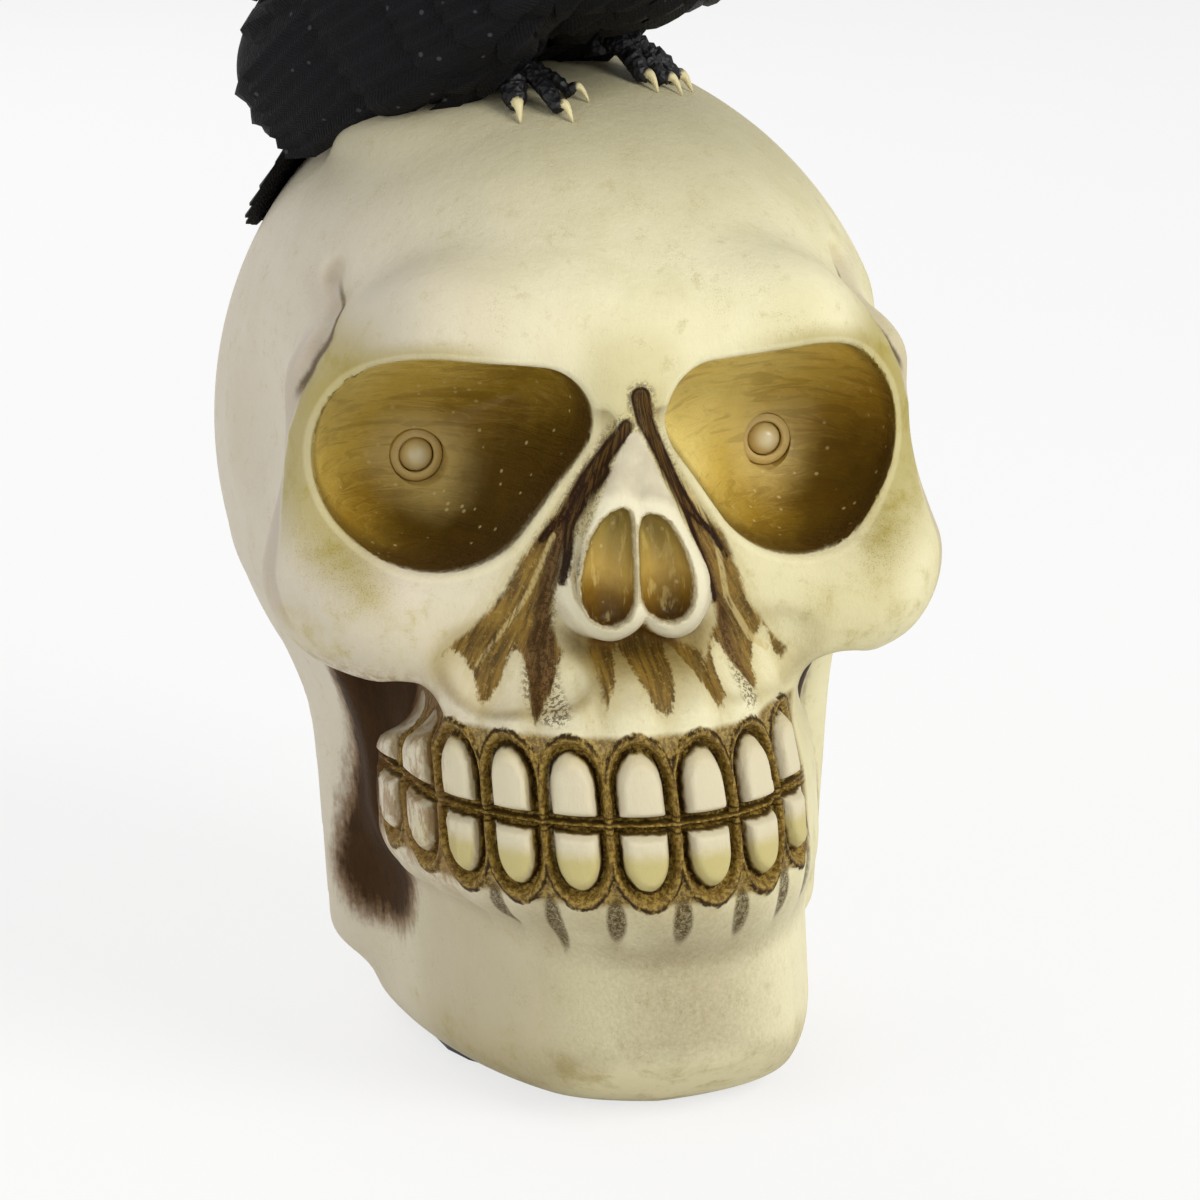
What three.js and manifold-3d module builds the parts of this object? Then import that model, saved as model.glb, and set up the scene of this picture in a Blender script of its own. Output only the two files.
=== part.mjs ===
// A hollow resin skull with glowing eyes that carries a perched crow, a solar panel at the back
// and a screwed base with a battery door, a slide switch and a socket for a garden stake.
// Millimetres, +Z up. The face looks towards -Y and the origin lies on the flat underside.
import * as THREE from 'three';
import { mergeVertices } from 'three/addons/utils/BufferGeometryUtils.js';
import Module from 'manifold-3d';

const wasm = await Module();
wasm.setup();

// Skull
const HEAD_WIDTH = 100;
const HEAD_LENGTH = 120;
const HEAD_HEIGHT = 146;
const WALL = 5.5;
const SOCKET_RADIUS = 15.3;
const SOCKET_CORNER_RADIUS = 7.4;
const SOCKET_DEPTH = 22;
const NOSE_RADIUS = 4.1;
const NOSE_TIP_RADIUS = 2.3;
const NOSE_DEPTH = 12;
const TOOTH_WIDTH = 9.45;
const UPPER_TOOTH_HEIGHT = 9.8;
const LOWER_TOOTH_HEIGHT = 9.8;
const TOOTH_DEPTH = 6.4;
const BITE_GAP = 0.5;
const TOOTH_COUNT_PER_SIDE = 4;

// Base plate and what it carries
const PLATE_THICKNESS = 2.8;
const LEDGE_HEIGHT = 11;
const LEDGE_SIDE = 1.6;
const LEDGE_END = 10.4;
const THROAT_ROUND = 1.5;
const STAKE_BORE = 12.5;
const STAKE_DEPTH = 32;
const STAKE_WALL = 2;
const STAKE_Y = -13;
const TRAY_WALL = 1.4;
const TRAY_CLEARANCE = 0.6;
const SCREW_DIAMETER = 3;
const SCREW_HEAD_DIAMETER = 5.6;
const SCREW_LENGTH = 8;
const SCREW_X = 10;
const SCREW_EDGE = 6.2;

// Battery, its door and its contacts
const BATTERY_DIAMETER = 10.3;
const BATTERY_LENGTH = 29.5;
const BATTERY_PLAY = 1.3;
const CONTACT_SPACE = 3.2;
const CONTACT_THICKNESS = 0.5;
const DOOR_THICKNESS = 2;
const DOOR_FRONT_Y = 6.5;
const DOOR_LIFT = 0.3;
const KNUCKLE_DIAMETER = 2.2;
const HINGE_PIN_DIAMETER = 1.3;
const HINGE_PIN_LENGTH = 1.1;
const SPRING_WIRE = 0.6;

// Switch and circuit board
const SWITCH_WIDTH = 4.4;
const SWITCH_LENGTH = 9;
const SWITCH_HEIGHT = 4;
const SWITCH_X = 14.2;
const SWITCH_TRAVEL = 3;
const KNOB_WIDTH = 1.8;
const KNOB_LENGTH = 2.4;
const KNOB_HEIGHT = 2.2;
const POCKET_HEIGHT = 3.6;
const BOARD_LENGTH = 33;
const BOARD_WIDTH = 13;
const BOARD_THICKNESS = 1.6;
const BOARD_STANDOFF = 2;
const BOARD_SCREW_DIAMETER = 2;

// Lamps in the eyes
const LED_DIAMETER = 5;
const LED_LENGTH = 8.6;
const LED_STAND_OUT = 2.6;
const LED_RIM = 0.8;
const HOLDER_WALL = 0.8;
const HOLDER_FLANGE = 1.4;
const LEAD_DIAMETER = 1.6;

// Solar panel
const PANEL_SIZE = 36;
const PANEL_DEPTH = 4.4;
const PANEL_SINK = 4.6;
const PANEL_RIM = 2.6;
const PANEL_TILT_SHARE = 0.444;
const CELL_THICKNESS = 1.2;
const COVER_THICKNESS = 1.2;

// Crow
const CROW_SIZE = 100;
const CROW_X = -3;
const CROW_Y = -10;
const PEG_DIAMETER = 8;
const PEG_LENGTH = 9;

// Shared by all pieces
const GAP = 0.3;
const OVERRUN = 2;
const FINE_SIDE_COUNT = 20;
const SIDE_COUNT = 14;
const COARSE_SIDE_COUNT = 8;
const LEAD_SIDE_COUNT = 8;
const LEAD_STEP_COUNT = 12;
const SKIN_COLUMN_COUNT = 64;
const SKIN_ROW_COUNT = 36;
const HOLLOW_COLUMN_COUNT = 20;
const HOLLOW_ROW_COUNT = 14;
const SEAT_COLUMN_COUNT = 56;
const SEAT_ROW_COUNT = 34;
const SOCKET_SIDE_COUNT = 24;
const NOSE_SIDE_COUNT = 12;

const root = new THREE.Group();

// Each material has its colour, roughness and metalness.
function finish(color, roughness, metalness) {
  return new THREE.MeshStandardMaterial({ color, roughness, metalness });
}

function addPiece(name, solid, look) {
  const piece = new THREE.Mesh(solid instanceof THREE.BufferGeometry ? solid : toGeometry(solid), look);
  piece.name = name;
  root.add(piece);
  return piece;
}

// Merges the shared vertices of a plain shape, before it is turned or moved.
function sewn(geometry) {
  geometry.deleteAttribute('normal');
  geometry.deleteAttribute('uv');
  return mergeVertices(geometry);
}

function toSolid(geometry) {
  const vertProperties = new Float32Array(geometry.attributes.position.array);
  const triVerts = new Uint32Array(geometry.index.array);
  return new wasm.Manifold(new wasm.Mesh({ numProp: 3, vertProperties, triVerts }));
}

function toGeometry(solid) {
  const mesh = solid.getMesh();
  const geometry = new THREE.BufferGeometry();
  geometry.setAttribute('position', new THREE.BufferAttribute(new Float32Array(mesh.vertProperties), 3));
  geometry.setIndex(new THREE.BufferAttribute(new Uint32Array(mesh.triVerts), 1));
  return geometry;
}

function join(solids) {
  return solids.reduce((whole, solid) => whole.add(solid));
}

function cut(solid, tools) {
  return tools.reduce((rest, tool) => rest.subtract(tool), solid);
}

function block(x0, x1, y0, y1, z0, z1) {
  const geometry = sewn(new THREE.BoxGeometry(x1 - x0, y1 - y0, z1 - z0));
  return toSolid(geometry.translate((x0 + x1) / 2, (y0 + y1) / 2, (z0 + z1) / 2));
}

// An upright round bar from z0 to z1.
function bar(radius, x, y, z0, z1, sides = SIDE_COUNT) {
  const geometry = sewn(new THREE.CylinderGeometry(radius, radius, z1 - z0, sides));
  return toSolid(geometry.rotateX(Math.PI / 2).translate(x, y, (z0 + z1) / 2));
}

// A round bar along X.
function crossBar(radius, x0, x1, y, z, sides = SIDE_COUNT) {
  const geometry = sewn(new THREE.CylinderGeometry(radius, radius, x1 - x0, sides));
  return toSolid(geometry.rotateZ(Math.PI / 2).translate((x0 + x1) / 2, y, z));
}

// A round bar along Y.
function depthBar(radius, x, y0, y1, z, sides = SIDE_COUNT) {
  const geometry = sewn(new THREE.CylinderGeometry(radius, radius, y1 - y0, sides));
  return toSolid(geometry.translate(x, (y0 + y1) / 2, z));
}

// A flat plate with half-round ends or rounded corners.
function roundedPlate(width, length, corner, z0, z1) {
  const halfWidth = width / 2;
  const halfLength = length / 2;
  const shape = new THREE.Shape();
  shape.absarc(halfWidth - corner, halfLength - corner, corner, 0, Math.PI / 2, false);
  shape.absarc(corner - halfWidth, halfLength - corner, corner, Math.PI / 2, Math.PI, false);
  shape.absarc(corner - halfWidth, corner - halfLength, corner, Math.PI, Math.PI * 1.5, false);
  shape.absarc(halfWidth - corner, corner - halfLength, corner, Math.PI * 1.5, Math.PI * 2, false);
  const geometry = sewn(new THREE.ExtrudeGeometry(shape, {
    depth: z1 - z0, bevelEnabled: false, curveSegments: 3,
  }));
  return toSolid(geometry.translate(0, 0, z0));
}

// A bar with round ends from a to b.
function limb(a, b, radiusA, radiusB, sides = COARSE_SIDE_COUNT) {
  const start = new THREE.Vector3(...a);
  const along = new THREE.Vector3(...b).sub(start);
  const reach = along.length();
  const profile = [
    new THREE.Vector2(0, -radiusA),
    new THREE.Vector2(radiusA * Math.SQRT1_2, -radiusA * Math.SQRT1_2),
    new THREE.Vector2(radiusA, 0),
    new THREE.Vector2(radiusB, reach),
    new THREE.Vector2(radiusB * Math.SQRT1_2, reach + radiusB * Math.SQRT1_2),
    new THREE.Vector2(0, reach + radiusB),
  ];
  const turn = new THREE.Quaternion().setFromUnitVectors(new THREE.Vector3(0, 1, 0), along.normalize());
  return toSolid(sewn(new THREE.LatheGeometry(profile, sides)).applyQuaternion(turn).translate(...a));
}

// A tube along a smooth curve.
function tube(points, radius, sides, steps) {
  const section = new THREE.Shape().absarc(0, 0, radius, 0, Math.PI * 2, false);
  const path = new THREE.CatmullRomCurve3(points.map((p) => new THREE.Vector3(...p)));
  return new THREE.ExtrudeGeometry(section, {
    steps, extrudePath: path, bevelEnabled: false, curveSegments: sides / 2,
  });
}

// Skull form, as distances to soft bones
// Centres and ends are shares of half the width, half the length and the height of the head,
// and the radii of struts and the blends are shares of half its width.
const HALF_WIDTH = HEAD_WIDTH / 2;
const HALF_LENGTH = HEAD_LENGTH / 2;

const CENTRE_SHARES = [0, -0.03, 0.51];

const EGG_BONE_SHARES = {
  cranium: { centre: [0, 0.133, 0.616], radii: [1, 1, 0.384], blend: 0.02 },
  frontal: { centre: [0, -0.2, 0.664], radii: [0.9, 0.667, 0.288], blend: 0.2 },
  cheek: { centre: [0.696, -0.65, 0.514], radii: [0.232, 0.217, 0.07], blend: 0.16 },
  midface: { centre: [0, -0.567, 0.562], radii: [0.62, 0.35, 0.185], blend: 0.16 },
  perch: { centre: [-0.36, -0.08, 0.932], radii: [0.3, 0.2, 0.038], blend: 0.16 },
};

const STRUT_SHARES = {
  brow: { a: [0, -0.79, 0.758], b: [0.48, -0.773, 0.775], radii: [0.108, 0.092], blend: 0.36 },
  outerBrow: { a: [0.48, -0.773, 0.775], b: [0.74, -0.6, 0.726], radii: [0.092, 0.08], blend: 0.26 },
  orbitRim: { a: [0.772, -0.567, 0.712], b: [0.84, -0.6, 0.548], radii: [0.084, 0.13], blend: 0.16 },
  arch: { a: [0.76, -0.567, 0.514], b: [0.82, 0.067, 0.521], radii: [0.13, 0.1], blend: 0.12 },
  cheekRoot: { a: [0.28, -0.783, 0.527], b: [0.56, -0.75, 0.5], radii: [0.12, 0.14], blend: 0.14 },
  bridge: { a: [0, -0.883, 0.74], b: [0, -0.925, 0.699], radii: [0.09, 0.05], blend: 0.12 },
  nose: { a: [0, -0.925, 0.699], b: [0.072, -0.95, 0.562], radii: [0.05, 0.164], blend: 0.05 },
  ramus: { a: [0.708, -0.033, 0.473], b: [0.62, -0.033, 0.123], radii: [0.11, 0.13], blend: 0.12 },
};

const HOLLOW_SHARES = {
  noseSide: { a: [0.084, -0.958, 0.705], b: [0.22, -0.983, 0.603], radii: [0.028, 0.06], blend: 0.04 },
  noseFoot: { a: [0.22, -0.983, 0.603], b: [0.28, -1.033, 0.493], radii: [0.06, 0.1], blend: 0.06 },
  canine: { a: [0.28, -1.033, 0.486], b: [0.44, -0.95, 0.473], radii: [0.1, 0.1], blend: 0.08 },
  jawGap: { a: [0.68, -0.417, 0.411], b: [0.63, -0.333, 0.247], radii: [0.12, 0.06], blend: 0.08 },
  underCheek: { a: [0.68, -0.45, 0.411], b: [0.6, -0.767, 0.425], radii: [0.12, 0.08], blend: 0.08 },
};

const TEMPLE_SHARES = { centre: [1.02, -0.333, 0.685], radii: [0.16, 0.283, 0.123], blend: 0.1 };
const TOOTH_RING_SHARES = {
  aside: -0.054, centre: -0.45, radii: [0.62, 0.658], middle: 0.349, half: 0.123, blend: 0.16,
};
const JAW_SHARES = {
  aside: 0.03, width: 0.62, front: 1.03, back: 0.733, top: 0.356, round: 0.28, blend: 0.16,
};
const CHIN_CUT_SHARES = { forward: 0.6, down: 0.8, away: 0.12, reach: 0.57, blend: 0.06 };

// The lower face sits a little to one side and the nose to the other, as on the hand-made model.
const LEAN_SHARES = { rate: 0.08, middle: 0.425, top: 0.603, front: 0.833 };

function placeShares(shares) {
  return [shares[0] * HALF_WIDTH, shares[1] * HALF_LENGTH, shares[2] * HEAD_HEIGHT];
}

function scaleBones(table) {
  return Object.values(table).map((bone) => ({
    centre: bone.centre && placeShares(bone.centre),
    a: bone.a && placeShares(bone.a),
    b: bone.b && placeShares(bone.b),
    radii: bone.centre ? placeShares(bone.radii) : bone.radii.map((share) => share * HALF_WIDTH),
    blend: bone.blend * HALF_WIDTH,
  }));
}

const EGG_BONES = scaleBones(EGG_BONE_SHARES);
const STRUTS = scaleBones(STRUT_SHARES);
const HOLLOWS = scaleBones(HOLLOW_SHARES);
const TEMPLE = scaleBones({ temple: TEMPLE_SHARES })[0];
const PERCH = EGG_BONES[EGG_BONES.length - 1];
const RAMUS = STRUTS[STRUTS.length - 1];

function softMin(a, b, k) {
  const h = Math.max(k - Math.abs(a - b), 0) / k;
  return Math.min(a, b) - h * h * k / 4;
}

function softMax(a, b, k) {
  return -softMin(-a, -b, k);
}

function toEgg(x, y, z, centre, radii) {
  const u = (x - centre[0]) / radii[0];
  const v = (y - centre[1]) / radii[1];
  const w = (z - centre[2]) / radii[2];
  const near = Math.hypot(u, v, w);
  const slope = Math.hypot(u / radii[0], v / radii[1], w / radii[2]);
  return near * (near - 1) / Math.max(slope, Number.EPSILON);
}

function toStrut(x, y, z, strut) {
  const [ax, ay, az] = strut.a;
  const dx = strut.b[0] - ax;
  const dy = strut.b[1] - ay;
  const dz = strut.b[2] - az;
  const passed = ((x - ax) * dx + (y - ay) * dy + (z - az) * dz) / (dx * dx + dy * dy + dz * dz);
  const t = Math.min(Math.max(passed, 0), 1);
  const radius = strut.radii[0] + (strut.radii[1] - strut.radii[0]) * t;
  return Math.hypot(x - ax - dx * t, y - ay - dy * t, z - az - dz * t) - radius;
}

// How far the face is set aside at a place.
function leanAt(y, z) {
  const front = Math.min(Math.max(-y / (LEAN_SHARES.front * HALF_LENGTH), 0), 1);
  const level = LEAN_SHARES.middle * HEAD_HEIGHT - Math.min(z, LEAN_SHARES.top * HEAD_HEIGHT);
  return front * LEAN_SHARES.rate * level;
}

function toToothRing(x, y, z) {
  const ring = TOOTH_RING_SHARES;
  const round = Math.hypot(x / (ring.radii[0] * HALF_WIDTH),
    (y - ring.centre * HALF_LENGTH) / (ring.radii[1] * HALF_LENGTH));
  const tall = Math.abs(z - ring.middle * HEAD_HEIGHT) - ring.half * HEAD_HEIGHT;
  return softMax((round - 1) * ring.radii[0] * HALF_WIDTH, tall, ring.blend * HALF_WIDTH);
}

function toJaw(x, y, z) {
  const jaw = JAW_SHARES;
  const chin = CHIN_CUT_SHARES;
  const depth = y < 0 ? jaw.front * HALF_LENGTH : jaw.back * HALF_LENGTH;
  const width = jaw.width * HALF_WIDTH;
  const round = (Math.hypot(x / width, y / depth) - 1) * width;
  const closed = softMax(round, -(z + OVERRUN / 2), jaw.round * HALF_WIDTH);
  const low = softMax(closed, z - jaw.top * HEAD_HEIGHT, jaw.blend * HALF_WIDTH);
  const facet = chin.away * x - chin.forward * y - chin.down * z - chin.reach * HALF_WIDTH;
  return softMax(low, facet, chin.blend * HALF_WIDTH);
}

// Distance to the whole skull without its eye sockets and nose holes, negative inside.
function toSkull(x, y, z) {
  const side = x - leanAt(y, z);
  const away = Math.abs(side);
  let d = Infinity;
  for (const bone of EGG_BONES) {
    const bony = toEgg(bone === PERCH ? x : away, y, z, bone.centre, bone.radii);
    d = d === Infinity ? bony : softMin(d, bony, bone.blend);
  }
  const beside = Math.abs(side - JAW_SHARES.aside * HALF_WIDTH);
  for (const strut of STRUTS) {
    d = softMin(d, toStrut(strut === RAMUS ? beside : away, y, z, strut), strut.blend);
  }
  const across = side - TOOTH_RING_SHARES.aside * HALF_WIDTH;
  d = softMin(d, toToothRing(across, y, z), TOOTH_RING_SHARES.blend * HALF_WIDTH);
  d = softMin(d, toJaw(beside, y, z), JAW_SHARES.blend * HALF_WIDTH);
  d = softMax(d, -toEgg(away, y, z, TEMPLE.centre, TEMPLE.radii), TEMPLE.blend);
  for (const hollow of HOLLOWS) {
    d = softMax(d, -toStrut(away, y, z, hollow), hollow.blend);
  }
  return d;
}

// The first point on a ray where the distance passes a level.
function reachLevel(start, direction, level) {
  const shortest = HEAD_WIDTH / 200;
  let low = 0;
  let high = 0;
  let d = -HEAD_WIDTH;
  while (d < level && high < HEAD_HEIGHT) {
    low = high;
    high += Math.max((level - d) / 2, shortest);
    d = toSkull(...pointOn(start, direction, high));
    if (low === 0) {
      high = Math.min(high, HALF_WIDTH / 2);
      d = toSkull(...pointOn(start, direction, high));
    }
  }
  for (let i = 0; i < 14; i += 1) {
    const middle = (low + high) / 2;
    if (toSkull(...pointOn(start, direction, middle)) < level) {
      low = middle;
    } else {
      high = middle;
    }
  }
  return pointOn(start, direction, (low + high) / 2);
}

function pointOn(start, direction, t) {
  return [start[0] + direction[0] * t, start[1] + direction[1] * t, start[2] + direction[2] * t];
}

// A closed skin where the distance has one value, as rays from the middle of the head.
// Its columns lie closer together on the face than at the back.
function skin(columns, rows, level) {
  const faceShare = 0.34;
  const centre = placeShares(CENTRE_SHARES);
  const geometry = sewn(new THREE.SphereGeometry(1, columns, rows));
  const position = geometry.attributes.position;
  for (let i = 0; i < position.count; i += 1) {
    const polar = Math.acos(Math.min(Math.max(position.getY(i), -1), 1));
    const turn = Math.atan2(position.getZ(i), position.getX(i)) / Math.PI;
    const azimuth = Math.PI * (turn * (1 - faceShare) + turn ** 3 * faceShare);
    const flat = Math.sin(polar);
    const direction = [-Math.sin(azimuth) * flat, -Math.cos(azimuth) * flat, Math.cos(polar)];
    position.setXYZ(i, ...reachLevel(centre, direction, level));
  }
  return toSolid(geometry);
}

// Top of the skull under a point.
function crownAt(x, y) {
  let low = HEAD_HEIGHT / 2;
  let high = HEAD_HEIGHT * 2;
  for (let i = 0; i < 24; i += 1) {
    const middle = (low + high) / 2;
    if (toSkull(x, y, middle) < 0) {
      low = middle;
    } else {
      high = middle;
    }
  }
  return (low + high) / 2;
}

// Eye sockets and nose holes
// The mouth of each is the outline round a large and a small circle, and its floor is a bowl.
const SOCKET_SHARES = { large: [0.54, 0.662], small: [0.252, 0.701], mouth: -0.9, turn: 0.3 };
const NOSE_SHARES = { large: [0.092, 0.548], small: [0.054, 0.606], mouth: -1.083, turn: 0 };

function outlineReach(angle, gapX, gapZ, radius, tipRadius) {
  const dx = Math.cos(angle);
  const dz = Math.sin(angle);
  let reach = radius;
  for (let t = 0; t <= 1; t += 1 / 16) {
    const cx = gapX * t;
    const cz = gapZ * t;
    const r = radius + (tipRadius - radius) * t;
    const near = cx * dx + cz * dz;
    const room = near * near - (cx * cx + cz * cz - r * r);
    if (room > 0) {
      reach = Math.max(reach, near + Math.sqrt(room));
    }
  }
  return reach;
}

// A cutter for one side (-1 or 1), grown all round by an allowance.
function bowl(shares, radius, tipRadius, depth, side, grow, sides) {
  const x = shares.large[0] * HALF_WIDTH;
  const z = shares.large[1] * HEAD_HEIGHT;
  const gapX = shares.small[0] * HALF_WIDTH - x;
  const gapZ = shares.small[1] * HEAD_HEIGHT - z;
  const profile = [new THREE.Vector2(0, -1), new THREE.Vector2(1, -1), new THREE.Vector2(1, 0)];
  const ringCount = 5;
  for (let i = 1; i <= ringCount; i += 1) {
    const angle = Math.PI / 2 * i / ringCount;
    profile.push(new THREE.Vector2(i === ringCount ? 0 : Math.cos(angle), Math.sin(angle)));
  }
  const geometry = sewn(new THREE.LatheGeometry(profile, sides));
  const position = geometry.attributes.position;
  for (let i = 0; i < position.count; i += 1) {
    const share = Math.hypot(position.getX(i), position.getZ(i));
    const angle = Math.atan2(position.getZ(i), position.getX(i));
    const reach = (outlineReach(angle, gapX, gapZ, radius, tipRadius) + grow) * share;
    const away = x + reach * Math.cos(angle);
    const inward = position.getY(i);
    const mouth = shares.mouth * HALF_LENGTH + shares.turn * (away - shares.small[0] * HALF_WIDTH);
    const y = mouth + inward * (inward < 0 ? depth : depth + grow);
    const up = z + reach * Math.sin(angle);
    position.setXYZ(i, side * away + leanAt(y, up), y, up);
  }
  return side > 0 ? toSolid(geometry) : toSolid(flipped(geometry));
}

function flipped(geometry) {
  const index = geometry.index.array;
  for (let i = 0; i < index.length; i += 3) {
    const first = index[i];
    index[i] = index[i + 2];
    index[i + 2] = first;
  }
  return geometry;
}

function eyeBowl(side, grow) {
  return bowl(SOCKET_SHARES, SOCKET_RADIUS, SOCKET_CORNER_RADIUS, SOCKET_DEPTH, side, grow,
    SOCKET_SIDE_COUNT);
}

function noseBowl(side, grow) {
  return bowl(NOSE_SHARES, NOSE_RADIUS, NOSE_TIP_RADIUS, NOSE_DEPTH, side, grow, NOSE_SIDE_COUNT);
}

// Where a lamp stands in the floor of an eye socket
const HOLDER_RADIUS = LED_DIAMETER / 2 + GAP + HOLDER_WALL;
const LED_SHARES = [0.51, 0.64];

function ledPlace(side) {
  const away = LED_SHARES[0] * HALF_WIDTH;
  const z = LED_SHARES[1] * HEAD_HEIGHT;
  const offset = Math.hypot(away - SOCKET_SHARES.large[0] * HALF_WIDTH,
    z - SOCKET_SHARES.large[1] * HEAD_HEIGHT);
  const mouth = SOCKET_SHARES.mouth * HALF_LENGTH
    + SOCKET_SHARES.turn * (away - SOCKET_SHARES.small[0] * HALF_WIDTH);
  const floor = mouth + SOCKET_DEPTH * Math.sqrt(1 - (offset / SOCKET_RADIUS) ** 2);
  return { x: side * away + leanAt(floor, z), floor, z };
}

// Teeth, in two rows round the front of the jaws
const BITE_SHARE = 0.334;
const TOOTH_SINK_SHARE = 0.22;
const TOOTH_SHIFT_SHARE = -0.061;

function teeth() {
  const ring = TOOTH_RING_SHARES;
  const bite = BITE_SHARE * HEAD_HEIGHT;
  const middle = leanAt(-HALF_LENGTH, bite) + ring.aside * HALF_WIDTH;
  const arc = new THREE.EllipseCurve(middle, ring.centre * HALF_LENGTH,
    ring.radii[0] * HALF_WIDTH - TOOTH_DEPTH * TOOTH_SINK_SHARE,
    ring.radii[1] * HALF_LENGTH - TOOTH_DEPTH * TOOTH_SINK_SHARE, Math.PI / 2, Math.PI * 2.5);
  const arcLength = arc.getLength();
  const rows = [
    { height: UPPER_TOOTH_HEIGHT, middle: bite + BITE_GAP / 2 + UPPER_TOOTH_HEIGHT / 2 },
    { height: LOWER_TOOTH_HEIGHT, middle: bite - BITE_GAP / 2 - LOWER_TOOTH_HEIGHT / 2 },
  ];
  const solids = [];
  for (const row of rows) {
    for (let i = 0; i < TOOTH_COUNT_PER_SIDE * 2; i += 1) {
      const from = (i - TOOTH_COUNT_PER_SIDE + TOOTH_SHIFT_SHARE) * TOOTH_WIDTH;
      const share = 0.5 + from / arcLength;
      const point = arc.getPointAt(share);
      const tangent = arc.getTangentAt(share);
      const turn = Math.atan2(tangent.y, tangent.x);
      solids.push(tooth(point, turn, row));
    }
  }
  return solids;
}

// One tooth is a ball drawn out to a rounded block, a little narrower at its root.
function tooth(point, turn, row) {
  const roundShare = 0.62;
  const geometry = sewn(new THREE.SphereGeometry(1, COARSE_SIDE_COUNT, 5));
  const position = geometry.attributes.position;
  for (let i = 0; i < position.count; i += 1) {
    const shaped = [position.getX(i), position.getZ(i), position.getY(i)]
      .map((value) => Math.sign(value) * Math.abs(value) ** roundShare);
    position.setXYZ(i, shaped[0] * TOOTH_WIDTH / 2, -shaped[1] * TOOTH_DEPTH / 2, shaped[2] * row.height / 2);
  }
  geometry.rotateZ(turn).translate(point.x + leanAt(point.y, row.middle), point.y, row.middle);
  return toSolid(geometry);
}

// Solar panel seat at the back of the head
const PANEL_NORMAL = new THREE.Vector3(0, Math.cos(PANEL_TILT_SHARE * Math.PI / 2),
  Math.sin(PANEL_TILT_SHARE * Math.PI / 2));

function panelTop() {
  const cranium = EGG_BONES[0];
  const weights = [0, cranium.radii[1] ** 2 * PANEL_NORMAL.y, cranium.radii[2] ** 2 * PANEL_NORMAL.z];
  const size = Math.sqrt(weights[1] * PANEL_NORMAL.y + weights[2] * PANEL_NORMAL.z);
  const onSkin = new THREE.Vector3(0, cranium.centre[1] + weights[1] / size,
    cranium.centre[2] + weights[2] / size);
  return onSkin.addScaledVector(PANEL_NORMAL, -PANEL_SINK);
}

// Puts a solid, drawn with +Z as its outer side, on the seat of the panel.
function onPanel(geometry, raise) {
  const turn = new THREE.Quaternion().setFromUnitVectors(new THREE.Vector3(0, 0, 1), PANEL_NORMAL);
  const place = panelTop().addScaledVector(PANEL_NORMAL, raise);
  return toSolid(geometry.applyQuaternion(turn).translate(place.x, place.y, place.z));
}

function panelBox(size, low, high) {
  return onPanel(sewn(new THREE.BoxGeometry(size, size, high - low)), (low + high) / 2);
}

// Sizes of the base that follow from the battery and the socket
const DOOR_LENGTH = BATTERY_LENGTH + CONTACT_SPACE * 2;
const BAY_WIDTH = BATTERY_DIAMETER + BATTERY_PLAY;
const KNUCKLE_RADIUS = KNUCKLE_DIAMETER / 2;
const HINGE_Y = DOOR_FRONT_Y + BAY_WIDTH + KNUCKLE_RADIUS;
const HINGE_Z = DOOR_LIFT + KNUCKLE_RADIUS;
const BAY_BACK_Y = HINGE_Y + KNUCKLE_RADIUS + GAP;
const BAY_FRONT_Y = DOOR_FRONT_Y - GAP;
const BAY_HALF = DOOR_LENGTH / 2 + GAP;
const BATTERY_Z = PLATE_THICKNESS + GAP * 2 + BATTERY_DIAMETER / 2;
const BATTERY_Y = DOOR_FRONT_Y + BAY_WIDTH / 2;
const BAY_TOP = BATTERY_Z + BATTERY_DIAMETER / 2 + GAP * 2;
const TRAY_TOP = BAY_TOP + TRAY_WALL;
const STAKE_RADIUS = STAKE_BORE / 2;
const BOARD_Z = TRAY_TOP + BOARD_STANDOFF;
const BOARD_SCREW_X = BOARD_LENGTH / 2 - BOARD_SCREW_DIAMETER * 1.4;
const SWITCH_Y = STAKE_Y;
const THROAT_WIDTH = (BAY_HALF + TRAY_WALL + TRAY_CLEARANCE) * 2;
const THROAT_REACH = Math.max(BAY_BACK_Y + TRAY_WALL, STAKE_RADIUS + STAKE_WALL - STAKE_Y);
const THROAT_LENGTH = (THROAT_REACH + TRAY_CLEARANCE) * 2;
const RECESS_WIDTH = THROAT_WIDTH + LEDGE_SIDE * 2;
const RECESS_LENGTH = THROAT_LENGTH + LEDGE_END * 2;

const RECESS_ROUND = RECESS_WIDTH / 2;

// Skull shell
function outerSkull() {
  const under = block(-HEAD_WIDTH, HEAD_WIDTH, -HEAD_LENGTH, HEAD_LENGTH, -HEAD_WIDTH, 0);
  return skin(SKIN_COLUMN_COUNT, SKIN_ROW_COUNT, 0).subtract(under);
}

function innerHollow() {
  const low = block(-HEAD_WIDTH, HEAD_WIDTH, -HEAD_LENGTH, HEAD_LENGTH, -HEAD_WIDTH, LEDGE_HEIGHT);
  const walls = [];
  for (const side of [-1, 1]) {
    walls.push(eyeBowl(side, WALL), noseBowl(side, WALL), ledBoss(side));
  }
  walls.push(panelBox(PANEL_SIZE + WALL * 2, -PANEL_DEPTH - WALL, PANEL_DEPTH + WALL));
  return cut(skin(HOLLOW_COLUMN_COUNT, HOLLOW_ROW_COUNT, -WALL), [low, ...walls]);
}

function ledBoss(side) {
  const led = ledPlace(side);
  return depthBar(HOLDER_RADIUS + WALL, led.x, led.floor, led.floor + WALL, led.z);
}

function screwPlaces() {
  const y = RECESS_LENGTH / 2 - SCREW_EDGE;
  return [[-SCREW_X, -y], [SCREW_X, -y], [-SCREW_X, y], [SCREW_X, y]];
}

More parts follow.
